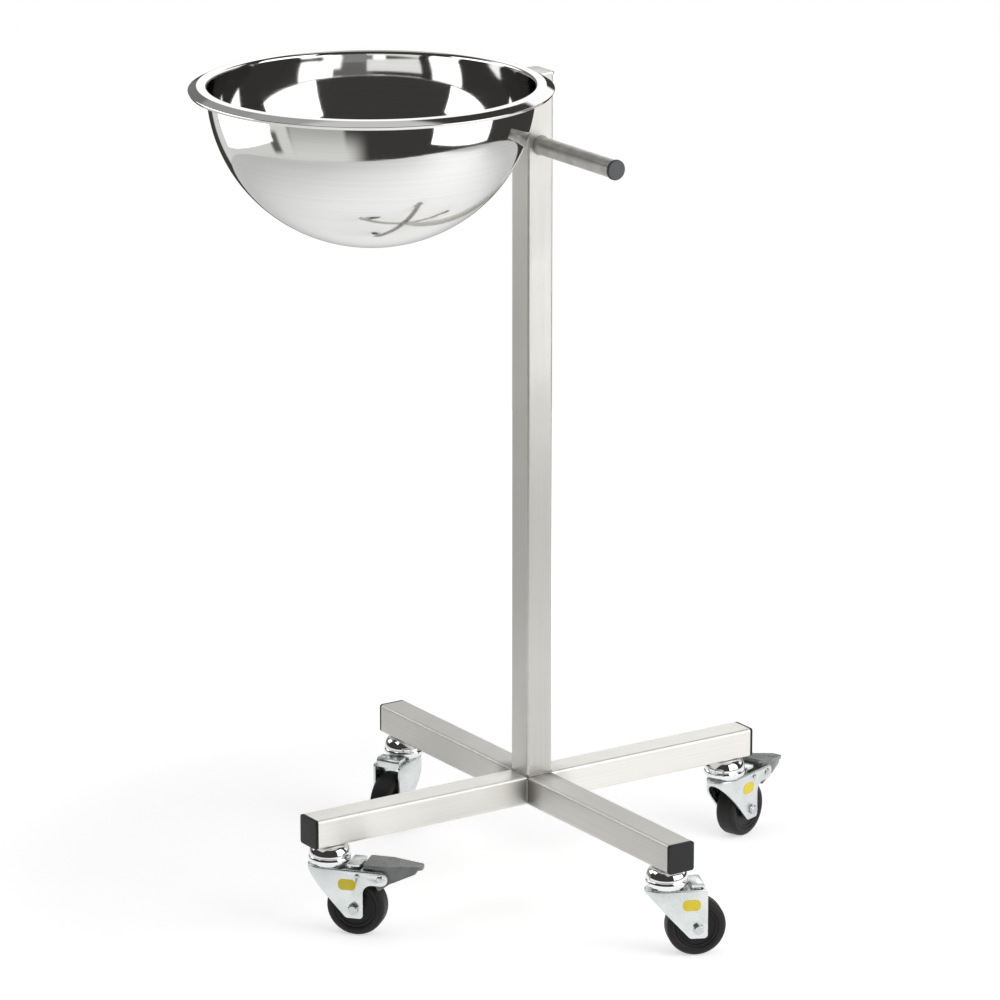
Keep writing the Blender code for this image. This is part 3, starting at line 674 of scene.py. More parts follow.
    def show(self, name: str, finish: Finish, body: str, nodes: Sequence[str] = (), slot: Optional[Slot] = None,
             place: Matrix = Matrix.Identity(4)) -> bpy.types.Object:
        """Finishes the shape as a piece of the stand.

        Args:
            name: The piece's name.
            finish: Its finish.
            body: The body that it rides on.
            nodes: The nodes that it replaces.
            slot: The record's slot for the piece; not used.
            place: Where its own frame sits.

        Returns:
            The new object.
        """
        edge_layer = self.bm.verts.layers.float.new("edge")
        place_layer = self.bm.verts.layers.float_vector.new("place")
        for vert in self.bm.verts:
            bends = [edge.calc_face_angle(0.0) for edge in vert.link_edges if edge.is_manifold and edge.is_convex]
            sharp = max(bends, default=0.0)
            vert[edge_layer] = min(max((sharp - EDGE_ANGLE) / (EDGE_FULL - EDGE_ANGLE), 0.0), 1.0)
            vert[place_layer] = vert.co
        self.bm.transform(place)
        mesh = self.mesh(name)
        mesh.shade_smooth()
        mesh.set_sharp_from_angle(angle=SMOOTH_ANGLE)
        mesh.materials.append(finish.material())
        obj = link(name, mesh)
        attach(obj, body)
        if nodes:
            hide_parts(*nodes)
        log.info("%s: %d faces on %s", name, len(mesh.polygons), body)
        return obj


def dress(node: str, finish: Finish) -> None:
    """Gives a node that keeps its solid a proper finish.

    Args:
        node: The node's name.
        finish: The finish.
    """
    data = frame["nodes"][node].data
    data.materials.clear()
    data.materials.append(finish.material())
    log.info("%s keeps its solid", node)


def joint(name: str) -> dict:
    """One of the record's joints, by name."""
    return next(item for item in frame["joints"] if item["name"] == name)


def local_box(node: str, place: Matrix) -> tuple[Vector, Vector]:
    """A node's box in a turned frame.

    Args:
        node: The node's name.
        place: The frame.

    Returns:
        Its lowest and highest corners there.
    """
    inverse = place.inverted()
    points = [inverse @ vert.co for vert in frame["nodes"][node].data.vertices]
    return Vector(map(min, zip(*points))), Vector(map(max, zip(*points)))


@dataclass
class BaseAndPost:
    """The square tubes: post, base cross, end plugs, top plate and the welds between them."""

    wall: float = 0.0015
    corner: float = 0.003
    corner_steps: int = 6
    support: float = 0.0012
    weld: float = 0.0011
    weld_rounds: tuple[float, float] = (0.95, 0.8)
    plug_head: float = 0.003
    plug_crown: float = 0.0012
    plug_edge: float = 0.0006
    plug_round: float = 0.9
    plate_edge: float = 0.0005
    plate_sharp: float = 60.0

    def tube(self, node: str, lay: Lay) -> None:
        """Builds one length of tube in a node's place.

        Args:
            node: The node that it replaces.
            lay: The direction that it runs and is brushed in.
        """
        low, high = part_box(node)
        work = Work.block(low, high)
        run = Vector((0.0, 0.0, 0.0))
        run[lay.value] = 1.0
        ends = [face for face in work.bm.faces if abs(face.normal.dot(run)) > FACING]
        bmesh.ops.delete(work.bm, geom=ends, context="FACES_ONLY")
        work.bevel(work.lines_along(lay.value), self.corner, self.corner_steps)
        flats = [face for face in work.bm.faces if face.calc_area() > self.corner * (high - low)[lay.value]]
        bmesh.ops.inset_individual(work.bm, faces=flats, thickness=self.support)
        bmesh.ops.solidify(work.bm, geom=work.bm.faces[:], thickness=self.wall)
        work.show("tube_" + node, satin(lay), "frame", (node,), Slot.SATIN_STEEL)

    def plug(self, corner: Corner) -> None:
        """Builds the plug in one arm's end.

        Args:
            corner: The arm's corner.
        """
        node = "arm_plug_" + corner.value
        low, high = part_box(node)
        middle = (low + high) / 2
        out = Vector((middle.x, middle.y, 0.0))
        turn = Matrix.Rotation(math.atan2(out.y, out.x), 4, "Z")
        place = Matrix.Translation((0.0, 0.0, middle.z)) @ turn
        (start, _, bottom), (end, _, top) = local_box(node, place)
        side = top - bottom
        seat = end - self.plug_crown - self.plug_head
        work = Work.block((seat, -side / 2, -side / 2), (end - self.plug_crown, side / 2, side / 2))
        work.bevel(work.lines_along(0), self.corner, self.corner_steps)
        faces = sorted(work.bm.faces, key=lambda face: face.calc_center_median().x)
        back, front = faces[0], faces[-1]
        bmesh.ops.inset_region(work.bm, faces=[front], thickness=self.plug_edge, depth=0.0)
        rim = work.sharp(lambda co: co.x > end - self.plug_crown - MERGE)
        bmesh.ops.inset_region(work.bm, faces=[back], thickness=self.wall + self.plug_edge / 2)
        work.extrude([back], (start - seat, 0.0, 0.0))
        bmesh.ops.delete(work.bm, geom=[back], context="FACES_ONLY")
        work.bevel(rim, self.plug_edge * self.plug_round, 3)
        front = max(work.bm.faces, key=lambda face: face.calc_center_median().x + face.calc_area())
        peak = bmesh.ops.poke(work.bm, faces=[front])["verts"][0]
        peak.co.x = end
        work.show("plug_" + corner.value, BLACK_PLASTIC, "frame", (node,), Slot.BLACK_PLASTIC, place)

    def plate(self) -> None:
        """Builds the plate on top of the post."""
        low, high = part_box("post_top_plate")
        work = Work.block(low, high)
        work.bevel(work.lines_along(2), self.corner, self.corner_steps)
        work.soften(self.plate_edge, 3, self.plate_sharp)
        work.show("top_plate", satin(Lay.X), "frame", ("post_top_plate",), Slot.SATIN_STEEL)

    def welds(self) -> None:
        """Builds the ground welds at the post's foot, in the base's corners and round the handle."""
        low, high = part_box("post")
        reach = self.weld
        foot_round, bead_round = (share * reach for share in self.weld_rounds)
        foot = Work.block((low.x - reach, low.y - reach, low.z - reach / 2),
                          (high.x + reach, high.y + reach, low.z + reach))
        foot.bevel(foot.lines_along(2), self.corner, 5)
        top = [edge for edge in foot.bm.edges if all(vert.co.z > low.z for vert in edge.verts)]
        foot.bevel(top, foot_round, 4)
        foot.show("weld_post_foot", WELD, "frame", (), Slot.SATIN_STEEL)
        arm_low, arm_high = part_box("long_arm")
        trim = self.corner
        for index, (x, y) in enumerate(((1, 1), (1, -1), (-1, 1), (-1, -1))):
            bead = Work.block((-reach, -reach, arm_low.z + trim), (reach, reach, arm_high.z - trim))
            bead.bevel(bead.lines_along(2), bead_round, 4)
            corner = Matrix.Translation((x * high.x, y * arm_high.y, 0.0))
            bead.show("weld_base_%d" % index, WELD, "frame", (), Slot.SATIN_STEEL, corner)

    def build(self) -> None:
        """Builds the whole sub-assembly."""
        for node, lay in (("post", Lay.Z), ("long_arm", Lay.X), ("front_arm", Lay.Y), ("back_arm", Lay.Y)):
            self.tube(node, lay)
        for corner in Corner:
            self.plug(corner)
        self.plate()
        self.welds()


@dataclass
class PushHandle:
    """The round handle tube, its end plug and the weld at its root."""

    wall: float = 0.0015
    weld: float = 0.0009
    weld_seat: tuple[float, float] = (0.2, 0.25)
    weld_steps: int = 12
    plug_round: float = 0.0012
    gap: float = 0.0003
    # A darker copy of the satin steel's tones: painted shade for the handle's darker look
    tone: Colour = (0.44, 0.435, 0.415)
    second_tone: Colour = (0.52, 0.515, 0.49)
    steps: int = 64

    def build(self) -> None:
        """Builds the handle along -Y from the post."""
        low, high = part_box("handle")
        middle = (low + high) / 2
        radius = (high.z - low.z) / 2
        place = Matrix.Translation((middle.x, 0.0, middle.z)) @ ACROSS
        start, end = -high.y, -low.y
        inner = radius - self.wall
        tube = Work.turned([(radius, start), (radius, end), (inner, end), (inner, start)], self.steps, True)
        smooth = replace(satin(Lay.Y), name="satin_steel_handle", tone=self.tone, second_tone=self.second_tone,
                         brushed=0.0, heat=0.0)
        tube.show("handle_tube", smooth, "frame", ("handle",), Slot.SATIN_STEEL, place)
        plug_low, plug_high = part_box("handle_plug")
        head = (plug_high.z - plug_low.z) / 2
        tail, tip = -plug_high.y, -plug_low.y
        seat = end + self.gap
        stem = inner - self.gap
        plug = Work.turned([(0.0, tip), (head, tip), (head, seat), (stem, seat), (stem, tail), (0.0, tail)], self.steps)
        plug.bevel(plug.sharp(lambda co: co.z > tip - MERGE), self.plug_round, 5)
        plug.show("handle_end_plug", DARK_PLUG, "frame", ("handle_plug",), Slot.BLACK_PLASTIC, place)
        bead = Work()
        line = bmesh.ops.create_circle(bead.bm, segments=self.weld_steps, radius=self.weld)["verts"]
        out, along = (self.weld * share for share in self.weld_seat)
        bead.move(ACROSS, Matrix.Translation((radius + out, 0.0, start + along)))
        bead.spin(line + bead.bm.edges[:], self.steps)
        bead.show("weld_handle", WELD, "frame", (), Slot.SATIN_STEEL, place)


@dataclass
class HungBasin:
    """The spun basin with its curled rim, and the rod ring inside the rim."""

    sheet: float = 0.0012
    foot: float = 0.030
    foot_round: float = 0.007
    rim_width: float = 0.019
    rim_roll: float = 0.0028
    rim_flat: float = 0.0112
    rim_bend: float = 0.0015
    rim_slope: float = 27.0
    edge: float = 0.0006
    lip: float = 0.0026
    lip_slant: float = 28.0
    hem: float = 0.0011
    hem_end: float = -130.0
    bend_steps: int = 8
    rod_steps: int = 16
    ring_steps: int = 128
    steps: int = 192
    wall_steps: int = 72

    def _rim(self, inside: float, outside: float, crest: float) -> list[tuple[float, float]]:
        """The rim's upper side: rolled up from the wall, flat, sloped down, then turned down and inwards.

        Args:
            inside: Radius of the bowl's inner wall.
            outside: Radius of the rim's edge.
            crest: Height of its crest over the wall's end.

        Returns:
            Points by radius and height.
        """
        slant, slope = math.radians(self.lip_slant), math.radians(self.rim_slope)
        upright = 90.0 - self.rim_slope
        points = arc((inside + self.rim_roll, 0.0), (self.rim_roll, crest), 180.0, 90.0, 12)
        points += [(inside + self.rim_roll + self.edge / 2, crest), (inside + self.rim_flat - self.edge / 2, crest)]
        points += arc((inside + self.rim_flat, crest - self.rim_bend), (self.rim_bend,) * 2, 90.0, upright, 6)
        reach, height = points[-1]
        start = outside - self.edge * (1.0 - math.sin(slope))
        height -= (start - reach) * math.tan(slope)
        middle = (outside - self.edge, height - self.edge * math.cos(slope))
        points += arc(middle, (self.edge, self.edge), upright, -self.lip_slant, 10)
        reach, height = points[-1]
        end = (reach - self.lip * math.sin(slant), height - self.lip * math.cos(slant))
        curl = (end[0] - self.hem * math.cos(slant), end[1] + self.hem * math.sin(slant))
        return points + arc(curl, (self.hem, self.hem), -self.lip_slant, self.hem_end, self.bend_steps)

    def build(self) -> None:
        """Builds the basin and its ring."""
        ring_low, ring_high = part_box("basin_ring")
        low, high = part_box("basin")
        middle = (low + high) / 2
        rod = ring_high.z - ring_low.z
        outside = (high.x - low.x) / 2
        inside = outside - self.rim_width - self.sheet
        crest = (rod + self.sheet) / 2
        level = high.z - crest
        turn = math.acos(self.foot / (inside + self.sheet))
        depth = (level - low.z) / math.sin(turn) - self.sheet
        floor = -depth * math.sin(turn)
        blend = math.degrees(math.acos((self.foot + self.foot_round) / inside))
        wall = arc((0.0, 0.0), (inside, depth), -blend, 0.0, self.wall_steps)
        first, join, last = Vector((self.foot - self.foot_round, floor)), Vector((self.foot, floor)), Vector(wall[0])
        shares = [step / self.bend_steps for step in range(self.bend_steps)]
        bend = [first.lerp(join, share).lerp(join.lerp(last, share), share) for share in shares]
        profile = [(0.0, floor)] + [tuple(point) for point in bend] + wall + self._rim(inside, outside, crest)[1:]
        work = Work.turned(profile, self.steps)
        bottom = min(work.bm.faces, key=lambda face: face.calc_center_median().xy.length)
        if bottom.normal.z < 0.0:
            bmesh.ops.reverse_faces(work.bm, faces=work.bm.faces)
        bmesh.ops.solidify(work.bm, geom=work.bm.faces[:], thickness=self.sheet)
        work.show("polished_basin", POLISHED, "basin", ("basin",), Slot.POLISHED_STEEL,
                  Matrix.Translation((middle.x, middle.y, level)))
        ring = Work()
        line = bmesh.ops.create_circle(ring.bm, segments=self.rod_steps, radius=rod / 2)["verts"]
        ring.move(ACROSS, Matrix.Translation(((ring_high.x - ring_low.x - rod) / 2, 0.0, 0.0)))
        ring.spin(line + ring.bm.edges[:], self.ring_steps)
        place = Matrix.Translation((ring_low + ring_high) / 2)
        ring.show("rod_ring", satin(Lay.EVEN), "frame", ("basin_ring",), Slot.SATIN_STEEL, place)


# The swivel cup's shoulder, bead and skirt, in shares of its radius and height
CUP_PROFILE = [
    *arc((0.60, 0.38), (0.38, 0.62), 90.0, 3.0, 16),
    (0.945, 0.365),
    *arc((0.93, 0.17), (0.07, 0.17), 75.0, -60.0, 12),
    (0.95, 0.0), (0.84, 0.0), (0.84, 0.22),
]


@dataclass
class Castor:
    """One swivel castor: cup, pressed fork, wheel, axle, marks and, on some, a brake pedal."""

    corner: Corner
    gap: float = 0.0003
    bend: float = 0.0018
    fork_edge: float = 0.0004
    fork_sharp: float = 40.0
    skirt: float = 0.0006
    front_foot: float = 0.0083
    foot_corner: float = 0.004
    boss: float = 0.0103
    notch: float = 0.010
    tongue_gap: float = 0.0008
    tongue_side: float = 0.002
    tongue: float = 0.0147
    tongue_lip: float = 0.0015
    tongue_corner: float = 0.005
    tongue_flange: float = 0.010
    tongue_bend: float = 0.004
    king_hole: float = 0.0053
    axle: float = 0.006
    hub: float = 0.022
    side_step: float = 0.0012
    web_step: float = 0.0008
    core_rim: float = 0.003
    shoulder: float = 0.006
    pedal_round: float = 0.0009
    pedal_sharp: float = 32.0
    mark_size: tuple[float, float] = (0.0195, 0.0122)
    mark_centre: tuple[float, float] = (0.0235, 0.0585)
    mark_thick: float = 0.00025
    mark_round: float = 0.42
    tyre_lead: float = 0.002
    bush_wall: float = 0.002
    core_edge: float = 0.0006
    head_root: float = 0.001
    tip_chamfer: float = 0.0007
    hex_edge: float = 0.0002
    hex_sharp: float = 25.0
    hex_steps: int = 36
    hex_dome: tuple[float, float, float, float] = (0.44, 0.60, 0.11, 0.1)
    rivet_shank: float = 0.62
    rivet_dome: tuple[float, float, float, float] = (0.55, 0.12, 0.85, 0.42)
    steps: int = 96

    def __post_init__(self) -> None:
        """Finds the castor's own frame and its sizes in the solids."""
        name = self.name = self.corner.value
        pivot = Vector(joint("swivel_turn_" + name)["pos_m"])
        rolling = joint("wheel_roll_" + name)
        across = Vector(rolling["axis"])
        turn = Matrix.Rotation(math.atan2(-across.x, across.y), 4, "Z")
        self.place = Matrix.Translation((pivot.x, pivot.y, 0.0)) @ turn
        self.axle_at = self.place.inverted() @ Vector(rolling["pos_m"])
        self.axle_place = self.place @ Matrix.Translation(self.axle_at) @ ACROSS
        self.braked = any(item["name"] == "brake_press_" + name for item in frame["joints"])
        self.fork_low, self.fork_high = local_box("fork_" + name, self.place)
        self.cup_low, self.cup_high = local_box("swivel_cup_" + name, self.place)
        self.tyre_low, self.tyre_high = local_box("tyre_" + name, self.place)
        self.core_low, self.core_high = local_box("wheel_core_" + name, self.place)
        self.bolt_low, self.bolt_high = local_box("axle_bolt_" + name, self.place)
        self.nut_low, self.nut_high = local_box("axle_nut_" + name, self.place)
        self.sheet = self.fork_high.z - self.cup_low.z
        self.crown = local_box("ball_race_" + name, self.place)[0].z - self.gap
        self.pin_at = Vector()
        if self.braked:
            self.pin_at = self.place.inverted() @ Vector(joint("brake_press_" + name)["pos_m"])

    def _side_view(self) -> Outline:
        """The fork's outline from the side.

        Returns:
            Corners by x, z and radius.
        """
        front = self.fork_low.x - self.sheet
        foot = self.fork_low.z
        trail = self.axle_at.x
        back = trail + self.boss
        top = [(back, self.crown, self.foot_corner)]
        if self.braked:
            ear = self.fork_high.x - self.pin_at.x
            top = [
                (trail, self.crown, self.foot_corner),
                (self.pin_at.x + ear, self.pin_at.z + ear, ear),
                (self.pin_at.x + ear, self.pin_at.z - ear, ear),
                (back, self.pin_at.z - ear, self.notch),
            ]
        return [
            (front, self.crown, 0.0),
            *top,
            (back, foot, self.foot_corner),
            (trail - self.front_foot, foot, self.boss / 2),
            (front, self.crown - self.skirt, 0.0),
        ]

    def _hood(self, back: float, inset: float) -> Work:
        """A solid with the hood's plan: a round nose that runs into two straight sides.

        Args:
            back: How far back the sides run.
            inset: How far the solid stays inside the fork's outer faces.

        Returns:
            The solid, with its top edges rounded.
        """
        half = self.fork_high.y - inset
        nose = -self.fork_low.x - inset
        top = self.crown - inset
        work = Work()
        first = work.bm.verts.new((0.0, half, top))
        bmesh.ops.spin(work.bm, geom=[first], cent=(0, 0, top), axis=(0, 0, 1), angle=math.pi, steps=32)
        bmesh.ops.scale(work.bm, vec=(nose / half, 1.0, 1.0), verts=work.bm.verts)
        chain = work.bm.edges[:]
        for end in [vert for vert in work.bm.verts if len(vert.link_edges) == 1]:
            made = bmesh.ops.extrude_vert_indiv(work.bm, verts=[end])
            chain += made["edges"]
            made["verts"][0].co.x = back + inset
        tails = [vert for vert in work.bm.verts if len(vert.link_edges) == 1]
        face = bmesh.ops.edgeloop_fill(work.bm, edges=chain + [work.bm.edges.new(tails)])["faces"]
        work.extrude(face, (0.0, 0.0, self.fork_low.z - self.sheet - inset - top))
        bmesh.ops.recalc_face_normals(work.bm, faces=work.bm.faces)
        rim = [edge for edge in chain if edge.is_valid]
        return work.bevel(rim, max(self.bend - inset, self.gap), 5)

    def _bar(self, radius: float, x: float, z: float) -> Work:
        """A cutter for a hole across both legs.

        Args:
            radius: The hole's radius.
            x: Its place along the fork.
            z: Its height.

        Returns:
            The cutter.
        """
        length = self.fork_high.y + self.sheet
        bar = Work.rod(radius, -length, length)
        return bar.move(ACROSS, Matrix.Translation((x, 0.0, z)))

    def _tongue(self) -> Work:
        """The raised tongue behind the cup, with its riser, bent down at its back where no pedal is.

        Returns:
            The tongue.
        """
        front = self.cup_high.x + self.tongue_gap
        end = front + self.tongue
        under, top = self.cup_low.z, self.fork_high.z
        if self.braked:
            half = self.fork_high.y - self.tongue_side
            plate = Work.block((front, -half, under), (end, half, top))
            plate.bevel([edge for edge in plate.lines_along(2) if edge.verts[0].co.x > front + MERGE],
                        self.tongue_corner, 6)
        else:
            half = self.fork_high.y - self.sheet - self.gap
            inner, foot = end - self.sheet, top - self.tongue_flange
            plate = Work.prism([(front, under, 0.0), (front, top, 0.0), (end, top, self.tongue_bend), (end, foot, 0.0),
                                (inner, foot, 0.0), (inner, under, self.tongue_bend - self.sheet)], 2 * half)
            lips = [Work.block((front, min(side * half, side * (half - self.sheet)), under - self.tongue_lip),
                               (inner, max(side * half, side * (half - self.sheet)), under + self.sheet / 2))
                    for side in (-1.0, 1.0)]
            plate.join(Join.ADD, *lips)
        start = front + self.sheet / 4
        half -= self.sheet
        riser = Work.block((start, -half, self.crown - self.sheet / 2),
                           (start + self.sheet, half, under + self.sheet / 2))
        return plate.join(Join.ADD, riser)

    def fork(self) -> None:
        """Builds the pressed fork."""
        name = self.name
        margin = self.sheet
        back = self.fork_high.x + margin
        half = self.fork_high.y - self.sheet
        width = 2 * (self.fork_high.y + margin)
        crown_back = self.cup_high.x + self.tongue_gap + 2 * self.sheet
        slot = Work.block((crown_back, -half, self.crown - 3 * margin), (back + margin, half, self.crown + margin))
        king = Work.rod(self.king_hole, self.crown - 2 * margin, self.crown + margin)
        holes = [self._bar(self.axle / 2 + self.gap, self.axle_at.x, self.axle_at.z)]
        if self.braked:
            pin_low, pin_high = local_box("pedal_pin_" + name, self.place)
            stop_low, stop_high = local_box("brake_stop_" + name, self.place)
            holes.append(self._bar((pin_high.z - pin_low.z) / 3, self.pin_at.x, self.pin_at.z))
            stop = (stop_low + stop_high) / 2
            holes.append(self._bar((stop_high.z - stop_low.z) / 3, stop.x, stop.z))
        work = self._hood(back, 0.0)
        work.join(Join.CUT, self._hood(back, self.sheet), slot)
        work.join(Join.KEEP, Work.prism(self._side_view(), width))
        work.join(Join.CUT, king, *holes)
        work.join(Join.ADD, self._tongue())
        work.soften(self.fork_edge, 2, self.fork_sharp)
        work.show("pressed_fork_" + name, ZINC, "swivel_" + name, ("fork_" + name,), Slot.BRIGHT_ZINC, self.place)

    def cup(self) -> None:
        """Builds the chrome swivel cup: a domed shoulder over a rounded ring."""
        name = self.name
        radius = self.cup_high.x
        bottom, tall = self.cup_low.z, self.cup_high.z - self.cup_low.z
        profile = [(radius * reach, bottom + tall * height) for reach, height in CUP_PROFILE]
        profile = [(self.king_hole, self.cup_high.z)] + profile + [(self.king_hole, profile[-1][1])]
        work = Work.turned(profile, self.steps, True)
        work.show("chrome_cup_" + name, CHROME, "frame", ("swivel_cup_" + name,), Slot.CHROME,
                  Matrix.Translation((self.place.translation.x, self.place.translation.y, 0.0)))

    def wheel(self) -> None:
        """Builds the tyre and the wheel's centre."""
        name = self.name
        place = self.axle_place
        radius = (self.tyre_high.z - self.tyre_low.z) / 2
        half = (self.tyre_high.y - self.tyre_low.y) / 2
        core = (self.core_high.z - self.core_low.z) / 2
        seat = core + self.gap
        lip = half - self.side_step
        web = lip - self.web_step
        lead = seat + self.tyre_lead
        tyre = Work.turned([(seat, lip), (lead, half), (radius, half), (radius, -half), (lead, -half), (seat, -lip)],
                           self.steps, True)
        tyre.bevel(tyre.sharp(lambda co: co.xy.length > radius - MERGE), self.shoulder, 9)
        tyre.show("rubber_tyre_" + name, RUBBER, "wheel_" + name, ("tyre_" + name,), Slot.BLACK_RUBBER, place)
        hub_half = (self.core_high.y - self.core_low.y) / 2
        bore = self.axle / 2 + 2 * self.gap + self.bush_wall
        inner = core - self.core_rim
        side = [(bore, hub_half), (self.hub / 2, hub_half), (self.hub / 2, web), (inner, web),
                (inner, lip), (core, lip)]
        centre = Work.turned(side + [(reach, -height) for reach, height in reversed(side)], self.steps, True)
        centre.bevel(centre.sharp(lambda co: True), self.core_edge, 3)
        centre.show("wheel_centre_" + name, WHEEL_PLASTIC, "wheel_" + name, ("wheel_core_" + name,),
                    Slot.BLACK_PLASTIC, place)

    def _hexagon(self, width: float, low: float, high: float, how: Join, tool: Work) -> Work:
        """A chamfered hexagon about z, with a shank or a hole.

        Args:
            width: Width across its flats.
            low: Its lower face.
            high: Its upper face.
            how: Whether the tool adds a shank or cuts a hole.
            tool: The shank or the hole.

        Returns:
            The hexagon.
        """
        work = Work()
        flat, wide, fall, spare = (part * width for part in self.hex_dome)
        bmesh.ops.create_cone(work.bm, cap_ends=True, segments=6, radius1=width / math.sqrt(3),
                              radius2=width / math.sqrt(3), depth=high + spare - low)
        work.move(Matrix.Translation((0.0, 0.0, (low + high + spare) / 2)))
        dome = Work.turned([(0.0, high), (flat, high), (wide, high - fall), (wide, low - spare), (0.0, low - spare)],
                           self.hex_steps)
        work.join(Join.KEEP, dome.move(Matrix.Rotation(math.pi / self.hex_steps, 4, "Z")))
        work.join(how, tool)
        return work.soften(self.hex_edge, 2, self.hex_sharp)

    def axle_and_nut(self) -> None:
        """Builds the axle bolt, with its head on one leg, and the nut on the other."""
        name = self.name
        place = self.axle_place
        seat = self.fork_high.y + self.gap
        head_end, tail_end = -self.bolt_low.y, -self.bolt_high.y
        width = min(self.nut_high.z - self.nut_low.z, self.bolt_high.z - self.bolt_low.z)
        radius = self.axle / 2
        root, chamfer = seat + self.head_root, self.tip_chamfer
        shank = Work.turned([(0.0, root), (radius, root), (radius, tail_end + chamfer), (radius - chamfer, tail_end),
                             (0.0, tail_end)], ROD_STEPS)
        head = self._hexagon(width, seat, head_end, Join.ADD, shank)
        head.show("axle_" + name, BOLT_ZINC, "swivel_" + name, ("axle_bolt_" + name,), Slot.BRIGHT_ZINC, place)
        far = -self.nut_low.y if self.nut_low.y < -seat else self.nut_high.y
        bore = radius + self.gap
        hole = Work.rod(bore, seat - bore, far + bore)
        nut = self._hexagon(width, seat, far, Join.CUT, hole)
        nut.move(Matrix.Rotation(math.pi, 4, "X"))
        nut.show("axle_end_nut_" + name, BOLT_ZINC, "swivel_" + name, ("axle_nut_" + name,), Slot.BRIGHT_ZINC, place)

    def mark(self) -> None:
        """Builds the plain yellow mark on the outside of one leg."""
        name = self.name
        length, height = self.mark_size
        x, z = self.mark_centre
        seat = self.fork_low.y
        work = Work.block((x - length / 2, seat - self.mark_thick, z - height / 2),
                          (x + length / 2, seat, z + height / 2))
        work.bevel(work.lines_along(1), height * self.mark_round, 7)
        work.show("mark_" + name, YELLOW, "swivel_" + name, place=self.place)

    def rivet(self, node: str, label: str) -> None:
        """Builds a rivet across the fork, with a domed head on each side.

        Args:
            node: The node that it replaces.
            label: The new piece's name.
        """
        low, high = local_box(node, self.place)
        middle = (low + high) / 2
        head = (high.z - low.z) / 2
        end = high.y
        seat = self.fork_high.y + self.gap
        inner, inner_fall, outer, outer_fall = self.rivet_dome
        half = [(0.0, end), (head * inner, end - (end - seat) * inner_fall),
                (head * outer, end - (end - seat) * outer_fall), (head, seat), (head * self.rivet_shank, seat)]
        work = Work.turned(half + [(reach, -height) for reach, height in reversed(half)], 32)
        place = self.place @ Matrix.Translation((middle.x, 0.0, middle.z)) @ ACROSS
        work.show(label, BOLT_ZINC, "swivel_" + self.name, (node,), Slot.BRIGHT_ZINC, place)

    def pedal(self) -> None:
        """Builds the moulded brake pedal from its solid, with rounded edges."""
        name = self.name
        work = Work.copy_of("brake_pedal_" + name)
        work.soften(self.pedal_round, 3, self.pedal_sharp)
        work.show("moulded_pedal_" + name, GREY_PLASTIC, "pedal_" + name, ("brake_pedal_" + name,), Slot.GREY_PLASTIC)

    def build(self) -> None:
        """Builds the castor."""
        name = self.name
        self.cup()
        self.fork()
        self.wheel()
        self.axle_and_nut()
        self.mark()
        if self.braked:
            self.rivet("pedal_pin_" + name, "pedal_rivet_" + name)
            self.rivet("brake_stop_" + name, "stop_rivet_" + name)
            self.pedal()
        dress("ball_race_" + name, CHROME)
        for hidden in ("king_bolt_", "king_nut_", "axle_bush_"):
            dress(hidden + name, ZINC)


@dataclass(frozen=True)
class Softbox:
    """An upright lit panel that stands beside the stand."""

    name: str
    place: tuple[float, float]
    facing: float
    width: float
    bottom: float
    top: float
    radiance: float

    def build(self) -> None:
        """Places the panel, with its back towards the facing azimuth."""
        lamp = bpy.data.lights.new(self.name, "AREA")
        lamp.shape = "RECTANGLE"
        lamp.size = self.width
        lamp.size_y = self.top - self.bottom
        lamp.energy = self.radiance * math.pi * lamp.size * lamp.size_y
        obj = link(self.name, lamp)
        obj.location = (*self.place, (self.bottom + self.top) / 2)
        obj.rotation_euler = (math.radians(90), 0.0, math.radians(self.facing))
        obj.visible_camera = False


@dataclass(frozen=True)
class Patch:
    """A part of the room as metal sees it: azimuths from the camera's and elevations, in degrees."""

    middle: float
    half: float
    span: tuple[float, float]
    tone: Colour
    soft: float = SOFT_EDGE


